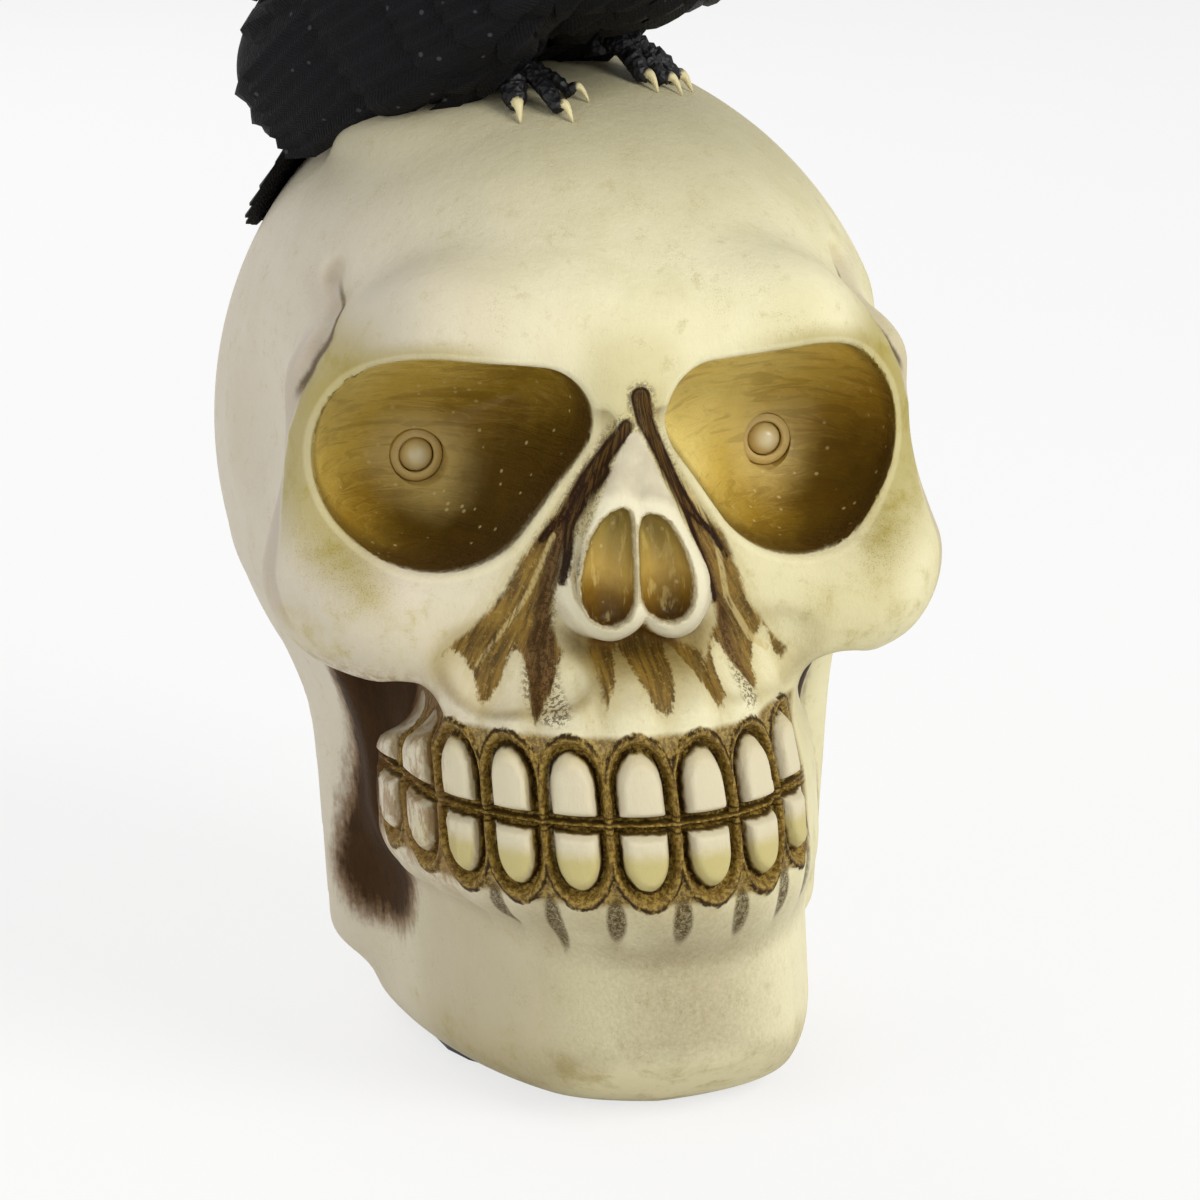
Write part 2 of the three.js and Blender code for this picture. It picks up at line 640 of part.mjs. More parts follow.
function skullShell() {
  const solid = join([outerSkull(), ...teeth()]).subtract(innerHollow());
  const tools = [];
  for (const side of [-1, 1]) {
    const led = ledPlace(side);
    tools.push(eyeBowl(side, 0), noseBowl(side, 0));
    tools.push(depthBar(HOLDER_RADIUS + GAP, led.x, led.floor - WALL, led.floor + WALL + OVERRUN, led.z));
    tools.push(depthBar(HOLDER_RADIUS + HOLDER_FLANGE + GAP, led.x, led.floor + WALL, led.floor + WALL * 2,
      led.z));
  }
  tools.push(roundedPlate(RECESS_WIDTH, RECESS_LENGTH, RECESS_ROUND, -OVERRUN, PLATE_THICKNESS + GAP));
  tools.push(roundedPlate(THROAT_WIDTH, THROAT_LENGTH, THROAT_ROUND, -OVERRUN, BOARD_Z + OVERRUN * 3));
  for (const [x, y] of screwPlaces()) {
    tools.push(bar(SCREW_DIAMETER / 2 + GAP, x, y, 0, PLATE_THICKNESS + SCREW_LENGTH, COARSE_SIDE_COUNT));
  }
  tools.push(panelBox(PANEL_SIZE + GAP * 2, -PANEL_DEPTH, PANEL_DEPTH + WALL + OVERRUN));
  const lead = panelTop().addScaledVector(PANEL_NORMAL, -PANEL_DEPTH);
  tools.push(depthBar(LEAD_DIAMETER, lead.x, lead.y - WALL * 3, lead.y + OVERRUN, lead.z, COARSE_SIDE_COUNT));
  tools.push(pegBar(PEG_DIAMETER / 2 + GAP, OVERRUN));
  return cut(solid, tools);
}

// Crow
// Places and half axes are shares of the crow's size: forward, to its left, and up from the crown.
const CROW_HEADING = [0.717, -0.697];
const CROW_EGG_SHARES = {
  body: { at: [-0.06, 0, 0.188], half: [0.35, 0.19, 0.175], pitch: 0.36 },
  rump: { at: [-0.26, 0, 0.09], half: [0.17, 0.12, 0.09], pitch: 0.62 },
  chest: { at: [0.145, 0, 0.278], half: [0.195, 0.175, 0.195], pitch: 0.75 },
  shoulder: { at: [0.19, 0, 0.355], half: [0.2, 0.158, 0.172], pitch: 0.85 },
  neck: { at: [0.23, 0, 0.43], half: [0.17, 0.145, 0.15], pitch: 0.9 },
  throat: { at: [0.275, 0, 0.485], half: [0.165, 0.132, 0.14], pitch: 0.8 },
  head: { at: [0.32, 0, 0.545], half: [0.155, 0.125, 0.13], pitch: 0.1 },
  upperBeak: { at: [0.45, 0, 0.53], half: [0.19, 0.046, 0.05], pitch: -0.16 },
  lowerBeak: { at: [0.435, 0, 0.495], half: [0.15, 0.036, 0.03], pitch: -0.1 },
};
const CROW_WING_SHARES = { at: [-0.15, 0.14, 0.095], half: [0.34, 0.1, 0.165], pitch: 0.48 };
const CROW_THIGH_SHARES = { at: [0.055, 0.095, 0.085], half: [0.09, 0.06, 0.1], pitch: 0 };
const CROW_TAIL_SHARES = { from: [-0.24, 0, 0.09], to: [-0.5, 0, -0.31], width: 0.2, thickness: 0.055 };
const CROW_LEG_SHARES = { top: 0.1, radii: [0.05, 0.028] };
const CROW_RIGHT_FOOT_SHARES = {
  ankle: [-0.03, -0.084, 0],
  toes: [[-0.735, 0.06], [-0.18, 0.106], [0.3, 0.09], [Math.PI, 0.05]],
};
const CROW_LEFT_FOOT_SHARES = {
  ankle: [0.023, 0.092, 0],
  toes: [[-0.11, 0.075], [0.27, 0.095], [0.65, 0.107], [Math.PI, 0.05]],
};
const CROW_TOE_RADIUS_SHARE = 0.019;
const CROW_CLAW_SHARES = { length: 0.04, radius: 0.012 };

function crowPoint(shares, side = 1) {
  const forward = shares[0] * CROW_SIZE;
  const left = shares[1] * CROW_SIZE * side;
  const crown = crownAt(CROW_X, CROW_Y);
  return [
    CROW_X + forward * CROW_HEADING[0] - left * CROW_HEADING[1],
    CROW_Y + forward * CROW_HEADING[1] + left * CROW_HEADING[0],
    crown + shares[2] * CROW_SIZE,
  ];
}

function crowEgg(part, side, columns, rows) {
  const half = part.half.map((share) => share * CROW_SIZE);
  const heading = Math.atan2(CROW_HEADING[1], CROW_HEADING[0]);
  const geometry = sewn(new THREE.SphereGeometry(1, columns, rows));
  geometry.rotateZ(Math.PI / 2).scale(...half).rotateY(-part.pitch).rotateZ(heading);
  return toSolid(geometry.translate(...crowPoint(part.at, side)));
}

function crowTail() {
  const tail = CROW_TAIL_SHARES;
  const from = new THREE.Vector3(...crowPoint(tail.from));
  const to = new THREE.Vector3(...crowPoint(tail.to));
  const reach = from.distanceTo(to);
  const half = tail.width * CROW_SIZE / 2;
  const shape = new THREE.Shape();
  shape.moveTo(-half * 0.75, 0);
  shape.lineTo(half * 0.75, 0);
  shape.lineTo(half, reach * 0.85);
  shape.quadraticCurveTo(half * 0.6, reach, 0, reach);
  shape.quadraticCurveTo(-half * 0.6, reach, -half, reach * 0.85);
  shape.closePath();
  const thickness = tail.thickness * CROW_SIZE;
  const geometry = sewn(new THREE.ExtrudeGeometry(shape, {
    depth: thickness, bevelEnabled: false, curveSegments: 4,
  }));
  geometry.translate(0, 0, -thickness / 2);
  const down = to.clone().sub(from).normalize();
  const across = new THREE.Vector3(-CROW_HEADING[1], CROW_HEADING[0], 0);
  const out = new THREE.Vector3().crossVectors(across, down);
  geometry.applyMatrix4(new THREE.Matrix4().makeBasis(across, down, out).setPosition(from));
  return toSolid(geometry);
}

// A toe follows the crown from the ankle and ends in a claw.
function crowToe(ankle, angle, length) {
  const heading = Math.atan2(CROW_HEADING[1], CROW_HEADING[0]) + angle;
  const radius = CROW_TOE_RADIUS_SHARE * CROW_SIZE;
  const clawRadius = CROW_CLAW_SHARES.radius * CROW_SIZE;
  const tip = [ankle[0] + length * Math.cos(heading), ankle[1] + length * Math.sin(heading)];
  const clawReach = length + CROW_CLAW_SHARES.length * CROW_SIZE;
  const end = [ankle[0] + clawReach * Math.cos(heading), ankle[1] + clawReach * Math.sin(heading)];
  const last = [...tip, crownAt(...tip) + radius * 0.7];
  const point = [...end, crownAt(...end) + clawRadius * 0.6];
  const start = [ankle[0], ankle[1], crownAt(ankle[0], ankle[1]) + radius * 1.2];
  return [
    limb(start, last, radius * 1.15, radius * 0.85, 6),
    limb(last, point, clawRadius, clawRadius * 0.3, 5),
  ];
}

function crowFoot(foot) {
  const leg = CROW_LEG_SHARES;
  const ankle = crowPoint(foot.ankle);
  ankle[2] = crownAt(ankle[0], ankle[1]) + leg.radii[1] * CROW_SIZE;
  const hip = [ankle[0], ankle[1], ankle[2] + leg.top * CROW_SIZE];
  const solids = [limb(hip, ankle, leg.radii[0] * CROW_SIZE, leg.radii[1] * CROW_SIZE)];
  for (const [angle, length] of foot.toes) {
    solids.push(...crowToe(ankle, angle, length * CROW_SIZE));
  }
  return solids;
}

// The glued peg stands on the way of the crow's middle and reaches into the crown.
const PEG_SHARES = [-0.1, 0, 0];

function pegBar(radius, extra) {
  const [x, y] = crowPoint(PEG_SHARES);
  const top = crownAt(x, y);
  return bar(radius, x, y, top - PEG_LENGTH - extra, top + PEG_LENGTH);
}

function crow(seat) {
  const eggs = CROW_EGG_SHARES;
  const solids = [
    crowEgg(eggs.body, 0, 22, 14),
    crowEgg(eggs.rump, 0, 12, 8),
    crowEgg(eggs.chest, 0, 18, 12),
    crowEgg(eggs.shoulder, 0, 16, 10),
    crowEgg(eggs.neck, 0, 16, 10),
    crowEgg(eggs.throat, 0, 16, 10),
    crowEgg(eggs.head, 0, 16, 10),
    crowEgg(eggs.upperBeak, 0, 10, 8),
    crowEgg(eggs.lowerBeak, 0, 8, 6),
    crowTail(),
    ...crowFoot(CROW_RIGHT_FOOT_SHARES),
    ...crowFoot(CROW_LEFT_FOOT_SHARES),
  ];
  for (const side of [-1, 1]) {
    solids.push(crowEgg(CROW_WING_SHARES, side, 16, 10));
    solids.push(crowEgg(CROW_THIGH_SHARES, side, 10, 8));
  }
  return cut(join(solids), [seat]).add(pegBar(PEG_DIAMETER / 2, 0));
}

// Base plate
// An upright box round the middle of the switch.
function switchBlock(halfWidth, halfLength, z0, z1) {
  return block(SWITCH_X - halfWidth, SWITCH_X + halfWidth, SWITCH_Y - halfLength, SWITCH_Y + halfLength, z0,
    z1);
}

// The outline of the switch, grown all round.
function switchBox(grow, z0, z1) {
  return switchBlock(SWITCH_WIDTH / 2 + grow, SWITCH_LENGTH / 2 + grow, z0, z1);
}

// The way of the switch's knob.
function knobSlot(z0, z1) {
  return switchBlock(KNOB_WIDTH / 2 + GAP, (KNOB_LENGTH + SWITCH_TRAVEL) / 2 + GAP, z0, z1);
}

function basePlate() {
  const plate = roundedPlate(RECESS_WIDTH - GAP * 2, RECESS_LENGTH - GAP * 2, RECESS_ROUND - GAP, 0,
    PLATE_THICKNESS);
  const socket = bar(STAKE_RADIUS + STAKE_WALL, 0, STAKE_Y, 0, STAKE_DEPTH + STAKE_WALL, FINE_SIDE_COUNT);
  const tray = block(-BAY_HALF - TRAY_WALL, BAY_HALF + TRAY_WALL, BAY_FRONT_Y - TRAY_WALL,
    BAY_BACK_Y + TRAY_WALL, 0, TRAY_TOP);
  const switchWell = switchBox(TRAY_WALL, 0, POCKET_HEIGHT + TRAY_WALL + SWITCH_HEIGHT / 2);
  const bosses = [-1, 1].map((side) => bar(BOARD_SCREW_DIAMETER, side * BOARD_SCREW_X, BATTERY_Y,
    TRAY_TOP - GAP, BOARD_Z - GAP, COARSE_SIDE_COUNT));
  const tools = [
    bar(STAKE_RADIUS, 0, STAKE_Y, -OVERRUN, STAKE_DEPTH, FINE_SIDE_COUNT),
    block(-BAY_HALF, BAY_HALF, BAY_FRONT_Y, BAY_BACK_Y, -OVERRUN, BAY_TOP),
    crossBar(HINGE_PIN_DIAMETER / 2 + GAP, -BAY_HALF - HINGE_PIN_LENGTH, BAY_HALF + HINGE_PIN_LENGTH,
      HINGE_Y, HINGE_Z, COARSE_SIDE_COUNT),
    switchBox(0, -OVERRUN, POCKET_HEIGHT),
    switchBox(GAP, POCKET_HEIGHT + TRAY_WALL, HEAD_HEIGHT),
    knobSlot(0, POCKET_HEIGHT + TRAY_WALL + OVERRUN),
  ];
  for (const side of [-1, 1]) {
    tools.push(bar(BOARD_SCREW_DIAMETER / 2 + GAP, side * BOARD_SCREW_X, BATTERY_Y, BAY_TOP + GAP,
      HEAD_HEIGHT, COARSE_SIDE_COUNT));
  }
  for (const [x, y] of screwPlaces()) {
    tools.push(bar(SCREW_DIAMETER / 2 + GAP, x, y, -OVERRUN, PLATE_THICKNESS + OVERRUN, COARSE_SIDE_COUNT));
    tools.push(bar(SCREW_HEAD_DIAMETER / 2 + GAP, x, y, -OVERRUN, PLATE_THICKNESS / 2, SIDE_COUNT));
  }
  return cut(join([plate, socket, tray, switchWell, ...bosses]), tools);
}

function batteryDoor() {
  const lid = block(-DOOR_LENGTH / 2, DOOR_LENGTH / 2, DOOR_FRONT_Y, HINGE_Y, DOOR_LIFT,
    DOOR_LIFT + DOOR_THICKNESS);
  const knuckle = crossBar(KNUCKLE_RADIUS, -DOOR_LENGTH / 2, DOOR_LENGTH / 2, HINGE_Y, HINGE_Z, SIDE_COUNT);
  const pin = crossBar(HINGE_PIN_DIAMETER / 2, -DOOR_LENGTH / 2 - HINGE_PIN_LENGTH,
    DOOR_LENGTH / 2 + HINGE_PIN_LENGTH, HINGE_Y, HINGE_Z, COARSE_SIDE_COUNT);
  const thumb = crossBar(DOOR_THICKNESS / 2, -BATTERY_DIAMETER / 2, BATTERY_DIAMETER / 2,
    DOOR_FRONT_Y + DOOR_THICKNESS * 1.5, 0, SIDE_COUNT);
  return cut(join([lid, knuckle, pin]), [thumb]);
}

// Screw with a flat head below z0 and its shank upwards.
function screwUp(x, y, headBottom, headHeight, headRadius, shankRadius, length) {
  const slot = block(x - headRadius * 0.6, x + headRadius * 0.6, y - headRadius / 8, y + headRadius / 8,
    headBottom - OVERRUN, headBottom + headHeight / 2);
  const across = block(x - headRadius / 8, x + headRadius / 8, y - headRadius * 0.6, y + headRadius * 0.6,
    headBottom - OVERRUN, headBottom + headHeight / 2);
  const head = bar(headRadius, x, y, headBottom, headBottom + headHeight, SIDE_COUNT);
  const shank = bar(shankRadius, x, y, headBottom, headBottom + headHeight + length, COARSE_SIDE_COUNT);
  return cut(head.add(shank), [slot, across]);
}

function baseScrew(x, y) {
  const headHeight = PLATE_THICKNESS / 2 - GAP * 2;
  return screwUp(x, y, GAP, headHeight, SCREW_HEAD_DIAMETER / 2, SCREW_DIAMETER / 2, SCREW_LENGTH);
}

// Battery with its raised plus end towards +X
function battery() {
  const radius = BATTERY_DIAMETER / 2;
  const nub = BATTERY_DIAMETER / 12;
  const half = BATTERY_LENGTH / 2;
  const profile = [
    new THREE.Vector2(0, -half),
    new THREE.Vector2(radius - nub, -half),
    new THREE.Vector2(radius, nub - half),
    new THREE.Vector2(radius, half - nub * 2),
    new THREE.Vector2(radius - nub, half - nub),
    new THREE.Vector2(radius / 3, half - nub),
    new THREE.Vector2(radius / 3, half),
    new THREE.Vector2(0, half),
  ];
  const geometry = sewn(new THREE.LatheGeometry(profile, FINE_SIDE_COUNT));
  return toSolid(geometry.rotateZ(-Math.PI / 2).translate(batteryShift(), BATTERY_Y, BATTERY_Z));
}

function batteryShift() {
  return CONTACT_SPACE - CONTACT_THICKNESS - GAP * 2;
}

function contact(side) {
  const outer = side * (BAY_HALF - GAP);
  const inner = outer - side * CONTACT_THICKNESS;
  const half = BATTERY_DIAMETER * 0.4;
  return block(Math.min(outer, inner), Math.max(outer, inner), BATTERY_Y - half, BATTERY_Y + half,
    BATTERY_Z - half, BATTERY_Z + half);
}

function batterySpring() {
  const plate = -(BAY_HALF - GAP - CONTACT_THICKNESS - GAP) + SPRING_WIRE / 2;
  const end = batteryShift() - BATTERY_LENGTH / 2 - GAP - SPRING_WIRE / 2;
  const turnCount = 3;
  const stepCountPerTurn = 8;
  const wide = BATTERY_DIAMETER * 0.34;
  const narrow = BATTERY_DIAMETER * 0.2;
  const points = [];
  for (let i = 0; i <= turnCount * stepCountPerTurn; i += 1) {
    const share = i / (turnCount * stepCountPerTurn);
    const angle = Math.PI * 2 * i / stepCountPerTurn;
    const radius = wide + (narrow - wide) * share;
    points.push([plate + (end - plate) * share, BATTERY_Y + radius * Math.cos(angle),
      BATTERY_Z + radius * Math.sin(angle)]);
  }
  return tube(points, SPRING_WIRE / 2, 6, turnCount * stepCountPerTurn);
}

function circuitBoard() {
  const board = block(-BOARD_LENGTH / 2, BOARD_LENGTH / 2, BATTERY_Y - BOARD_WIDTH / 2,
    BATTERY_Y + BOARD_WIDTH / 2, BOARD_Z, BOARD_Z + BOARD_THICKNESS);
  const top = BOARD_Z + BOARD_THICKNESS;
  const chip = block(-BOARD_LENGTH / 10, BOARD_LENGTH / 10, BATTERY_Y - BOARD_WIDTH / 6,
    BATTERY_Y + BOARD_WIDTH / 6, top - GAP, top + BOARD_THICKNESS);
  const coil = bar(BOARD_WIDTH / 5, BOARD_LENGTH / 4, BATTERY_Y, top - GAP, top + BOARD_THICKNESS * 2);
  const can = bar(BOARD_WIDTH / 6, -BOARD_LENGTH / 4, BATTERY_Y, top - GAP, top + BOARD_THICKNESS * 3);
  const holes = [-1, 1].map((side) => bar(BOARD_SCREW_DIAMETER / 2 + GAP, side * BOARD_SCREW_X, BATTERY_Y,
    BOARD_Z - OVERRUN, top + OVERRUN, COARSE_SIDE_COUNT));
  return cut(join([board, chip, coil, can]), holes);
}

function boardScrew(side) {
  const top = BOARD_Z + BOARD_THICKNESS + GAP;
  const head = bar(BOARD_SCREW_DIAMETER, side * BOARD_SCREW_X, BATTERY_Y, top,
    top + BOARD_SCREW_DIAMETER / 2);
  const shank = bar(BOARD_SCREW_DIAMETER / 2, side * BOARD_SCREW_X, BATTERY_Y, BAY_TOP + GAP * 2,
    top + BOARD_SCREW_DIAMETER / 2, COARSE_SIDE_COUNT);
  return head.add(shank);
}

function switchBody() {
  const base = POCKET_HEIGHT + TRAY_WALL + GAP;
  const box = switchBox(0, base, base + SWITCH_HEIGHT);
  const slot = knobSlot(base - OVERRUN, base + SWITCH_HEIGHT / 2);
  const pins = [-1, 0, 1].map((step) => bar(KNOB_WIDTH / 6, SWITCH_X, SWITCH_Y + step * KNOB_LENGTH,
    base + SWITCH_HEIGHT / 2 + GAP, base + SWITCH_HEIGHT * 1.6, 6));
  return join([box.subtract(slot), ...pins]);
}

// The knob stands at its "off" end at rest.
function switchSlider() {
  const base = POCKET_HEIGHT + TRAY_WALL + GAP + SWITCH_HEIGHT / 2 - GAP;
  const y = SWITCH_Y - SWITCH_TRAVEL / 2;
  return block(SWITCH_X - KNOB_WIDTH / 2, SWITCH_X + KNOB_WIDTH / 2, y - KNOB_LENGTH / 2, y + KNOB_LENGTH / 2,
    POCKET_HEIGHT - KNOB_HEIGHT, base);
}

// Lamps, their holders and leads
function led(side) {
  const place = ledPlace(side);
  const radius = LED_DIAMETER / 2;
  const back = LED_LENGTH - LED_STAND_OUT;
  const profile = [
    new THREE.Vector2(0, -LED_STAND_OUT),
    new THREE.Vector2(radius * Math.SQRT1_2, -LED_STAND_OUT + radius * (1 - Math.SQRT1_2)),
    new THREE.Vector2(radius, -LED_STAND_OUT + radius),
    new THREE.Vector2(radius, back - LED_RIM),
    new THREE.Vector2(radius + LED_RIM / 2, back - LED_RIM),
    new THREE.Vector2(radius + LED_RIM / 2, back),
    new THREE.Vector2(0, back),
  ];
  const shift = WALL + HOLDER_FLANGE + LED_RIM + GAP * 2 - back;
  const geometry = sewn(new THREE.LatheGeometry(profile, SIDE_COUNT));
  return toSolid(geometry.translate(place.x, place.floor + shift, place.z));
}

function ledHolder(side) {
  const place = ledPlace(side);
  const outer = HOLDER_RADIUS;
  const seat = place.floor + WALL + GAP;
  const sleeve = depthBar(outer, place.x, place.floor + GAP * 2, seat + HOLDER_FLANGE, place.z);
  const flange = depthBar(outer + HOLDER_FLANGE, place.x, seat, seat + HOLDER_FLANGE, place.z);
  const bore = depthBar(LED_DIAMETER / 2 + GAP, place.x, place.floor - OVERRUN,
    seat + HOLDER_FLANGE + OVERRUN, place.z);
  return cut(sleeve.add(flange), [bore]);
}

const LEAD_WAY_SHARES = [[0.44, 0.16, 0.58], [0.3, 0.26, 0.42], [0.2, 0.28, 0.27]];

function ledLead(side) {
  const place = ledPlace(side);
  const start = place.floor + WALL + HOLDER_FLANGE + LED_RIM + GAP * 3;
  const way = LEAD_WAY_SHARES.map(placeShares).map(([x, y, z]) => [side * x, y, z]);
  const landing = [side * BOARD_LENGTH * 0.36, BATTERY_Y + BOARD_WIDTH * 0.36,
    BOARD_Z + BOARD_THICKNESS + GAP];
  const points = [
    [place.x, start, place.z],
    [place.x, start + LEAD_DIAMETER * 2, place.z],
    ...way,
    [landing[0], landing[1], landing[2] + LEAD_DIAMETER * 3],
    landing,
  ];
  return tube(points, LEAD_DIAMETER / 2, LEAD_SIDE_COUNT, LEAD_STEP_COUNT);
}

// Solar panel
function panelBezel() {
  const outer = PANEL_SIZE;
  const inner = PANEL_SIZE - PANEL_RIM * 2;
  const tray = panelBox(outer, GAP - PANEL_DEPTH, 0);
  const well = panelBox(inner, GAP * 2 + PANEL_RIM / 2 - PANEL_DEPTH, OVERRUN);
  const lead = panelTop().addScaledVector(PANEL_NORMAL, -PANEL_DEPTH);
  const hole = depthBar(LEAD_DIAMETER, lead.x, lead.y - WALL, lead.y + WALL, lead.z, COARSE_SIDE_COUNT);
  return cut(tray, [well, hole]);
}

function cellBottom() {
  return GAP * 3 + PANEL_RIM / 2 - PANEL_DEPTH;
}

function solarCell() {
  return panelBox(PANEL_SIZE - PANEL_RIM * 2 - GAP * 2, cellBottom(), cellBottom() + CELL_THICKNESS);
}

function panelCover() {
  const low = cellBottom() + CELL_THICKNESS + GAP;
  return panelBox(PANEL_SIZE - PANEL_RIM * 2 - GAP * 2, low, low + COVER_THICKNESS);
}

const PANEL_LEAD_SHARES = [[0, 0.48, 0.7], [0, 0.45, 0.5], [0, 0.38, 0.3]];

function panelLead() {
  const hole = panelTop().addScaledVector(PANEL_NORMAL, -PANEL_DEPTH);
  const landing = [0, BATTERY_Y + BOARD_WIDTH * 0.36, BOARD_Z + BOARD_THICKNESS + GAP];
  const points = [
    [0, hole.y + LEAD_DIAMETER / 2, hole.z],
    [0, hole.y - WALL * 1.5, hole.z],
    [0, hole.y - WALL * 3, hole.z],
    ...PANEL_LEAD_SHARES.map(placeShares),
    [0, landing[1], landing[2] + LEAD_DIAMETER * 3],
    landing,
  ];
  return tube(points, LEAD_DIAMETER / 2, LEAD_SIDE_COUNT, LEAD_STEP_COUNT);
}

const BONE = finish(0xe6dfc0, 0.5, 0);
const FEATHER = finish(0x16151a, 0.55, 0);
const BLACK_PLASTIC = finish(0x1b1b1c, 0.5, 0);
const STEEL = finish(0xb8babd, 0.3, 1);
const BOARD_GREEN = finish(0x1f5a35, 0.5, 0);
const WIRE_RED = finish(0x8f1f1a, 0.5, 0);
const SLEEVE = finish(0x2c5f8a, 0.4, 0);
const LENS = finish(0xf2ead2, 0.2, 0);
const SILICON = finish(0x101a3a, 0.25, 0);

addPiece('skull_shell', skullShell(), BONE);
addPiece('crow', crow(skin(SEAT_COLUMN_COUNT, SEAT_ROW_COUNT, GAP * 3)), FEATHER);
addPiece('base_plate', basePlate(), BLACK_PLASTIC);
screwPlaces().forEach(([x, y], i) => addPiece(`base_screw_${i + 1}`, baseScrew(x, y), STEEL));
addPiece('battery_door', batteryDoor(), BLACK_PLASTIC);
addPiece('battery', battery(), SLEEVE);
addPiece('battery_spring', batterySpring(), STEEL);
addPiece('contact_minus', contact(-1), STEEL);
addPiece('contact_plus', contact(1), STEEL);
addPiece('circuit_board', circuitBoard(), BOARD_GREEN);
addPiece('board_screw_1', boardScrew(-1), STEEL);
addPiece('board_screw_2', boardScrew(1), STEEL);
addPiece('switch_body', switchBody(), BLACK_PLASTIC);
addPiece('switch_slider', switchSlider(), BLACK_PLASTIC);
addPiece('led_right', led(-1), LENS);
addPiece('led_left', led(1), LENS);
addPiece('led_holder_right', ledHolder(-1), BLACK_PLASTIC);
addPiece('led_holder_left', ledHolder(1), BLACK_PLASTIC);
addPiece('led_lead_right', ledLead(-1), WIRE_RED);
addPiece('led_lead_left', ledLead(1), WIRE_RED);
addPiece('panel_bezel', panelBezel(), BLACK_PLASTIC);
addPiece('solar_cell', solarCell(), SILICON);
addPiece('panel_cover', panelCover(), LENS);
addPiece('panel_lead', panelLead(), WIRE_RED);

export default root;
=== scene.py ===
"""Looks of the skull garden light: cast skull, perched crow, lamps, panel, base and stage."""
import math

import bpy
import numpy as np
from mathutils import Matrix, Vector


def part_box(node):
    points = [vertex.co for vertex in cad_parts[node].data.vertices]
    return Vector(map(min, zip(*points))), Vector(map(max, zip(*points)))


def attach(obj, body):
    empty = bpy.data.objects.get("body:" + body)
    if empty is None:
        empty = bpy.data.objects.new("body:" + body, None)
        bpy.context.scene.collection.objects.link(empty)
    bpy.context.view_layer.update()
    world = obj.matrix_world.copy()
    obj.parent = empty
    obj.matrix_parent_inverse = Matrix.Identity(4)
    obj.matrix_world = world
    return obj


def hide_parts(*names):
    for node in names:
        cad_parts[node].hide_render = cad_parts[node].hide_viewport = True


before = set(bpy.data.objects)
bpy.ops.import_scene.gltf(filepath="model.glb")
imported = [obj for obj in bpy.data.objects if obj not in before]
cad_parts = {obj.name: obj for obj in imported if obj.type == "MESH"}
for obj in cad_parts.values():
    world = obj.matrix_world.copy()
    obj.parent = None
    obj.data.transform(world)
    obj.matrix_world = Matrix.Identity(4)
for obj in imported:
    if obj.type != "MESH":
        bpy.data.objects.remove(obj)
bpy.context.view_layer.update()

bl_info = {
    "name": "Skull garden light",
    "version": (1, 0, 0),
    "blender": (4, 5, 0),
    "location": "View3D > Sidebar > Skull light",
    "description": "Models and paints the cast skull, its crow, lamps, solar panel and base",
    "category": "Object",
}

MM = 0.001


# Fields of distances, in millimetres, negative inside

def egg(x, y, z, centre, half):
    """About the distance to an egg with three half lengths."""
    u, v, w = (x - centre[0]) / half[0], (y - centre[1]) / half[1], (z - centre[2]) / half[2]
    near = np.sqrt(u * u + v * v + w * w)
    slope = np.sqrt((u / half[0]) ** 2 + (v / half[1]) ** 2 + (w / half[2]) ** 2)
    return near * (near - 1) / np.maximum(slope, 1e-6)


def strut(x, y, z, a, b, radius_a, radius_b):
    """Distance to a round bar between two places, with a radius at each."""
    dx, dy, dz = b[0] - a[0], b[1] - a[1], b[2] - a[2]
    t = ((x - a[0]) * dx + (y - a[1]) * dy + (z - a[2]) * dz) / (dx * dx + dy * dy + dz * dz)
    t = np.clip(t, 0, 1)
    reach = np.sqrt((x - a[0] - t * dx) ** 2 + (y - a[1] - t * dy) ** 2 + (z - a[2] - t * dz) ** 2)
    return reach - (radius_a + (radius_b - radius_a) * t)


def soft_min(a, b, k):
    """Two forms joined, with a fillet about k wide."""
    h = np.maximum(k - np.abs(a - b), 0) / k
    return np.minimum(a, b) - h * h * k / 4


def soft_max(a, b, k):
    return -soft_min(-a, -b, k)


def ease(low, high, value):
    """A smooth step from 0 at low to 1 at high."""
    t = np.clip((value - low) / (high - low), 0, 1)
    return t * t * (3 - 2 * t)


def bell(value, width):
    return np.exp(-(value / width) ** 2)


# Skull: bones joined softly, then hollows cut softly

BONES = (
    ("egg", (0, 8, 90), (50, 60, 56), 1),
    ("egg", (0, -12, 97), (45, 40, 42), 10),
    ("egg", (34.8, -39, 75), (11.6, 13, 10.2), 6.5),
    ("egg", (0, -34, 82), (31, 21, 27), 8),
    ("strut", (0, -47.4, 110.6), (24, -46.4, 113.2), 5.4, 4.6, 18),
    ("strut", (24, -46.4, 113.2), (37, -36, 106), 4.6, 4, 13),
    ("strut", (38.6, -34, 104), (42, -36, 80), 4.2, 6.5, 8),
    ("strut", (38, -34, 75), (41, 4, 76), 6.5, 5, 6),
    ("strut", (14, -47, 77), (28, -45, 73), 6, 7, 7),
    ("strut", (0, -53, 108), (0, -55.5, 102), 4.5, 2.5, 6),
    ("strut", (0, -55.5, 102), (3.6, -57, 82), 2.5, 8.2, 2.5),
)
RAMUS = ((35.4, -2, 69), (31, -2, 18), 5.5, 6.5)
HOLLOWS = (
    ("egg", (52, -20, 98), (8, 17, 16), 5),
    ("strut", (4.2, -57.5, 103), (11, -59, 88), 1.4, 3, 1.6),
    ("strut", (11, -59, 88), (14, -62, 72), 3, 5, 2.4),
    ("strut", (14, -62, 71), (22, -57, 69), 5, 5, 3.4),
    ("strut", (34, -25, 60), (31.5, -20, 36), 6, 3, 4),
    ("strut", (34, -27, 60), (30, -46, 62), 6, 4, 4),
    ("strut", (0, -68.5, 78), (0, -67, 88), 4.6, 3.2, 1.2),
)
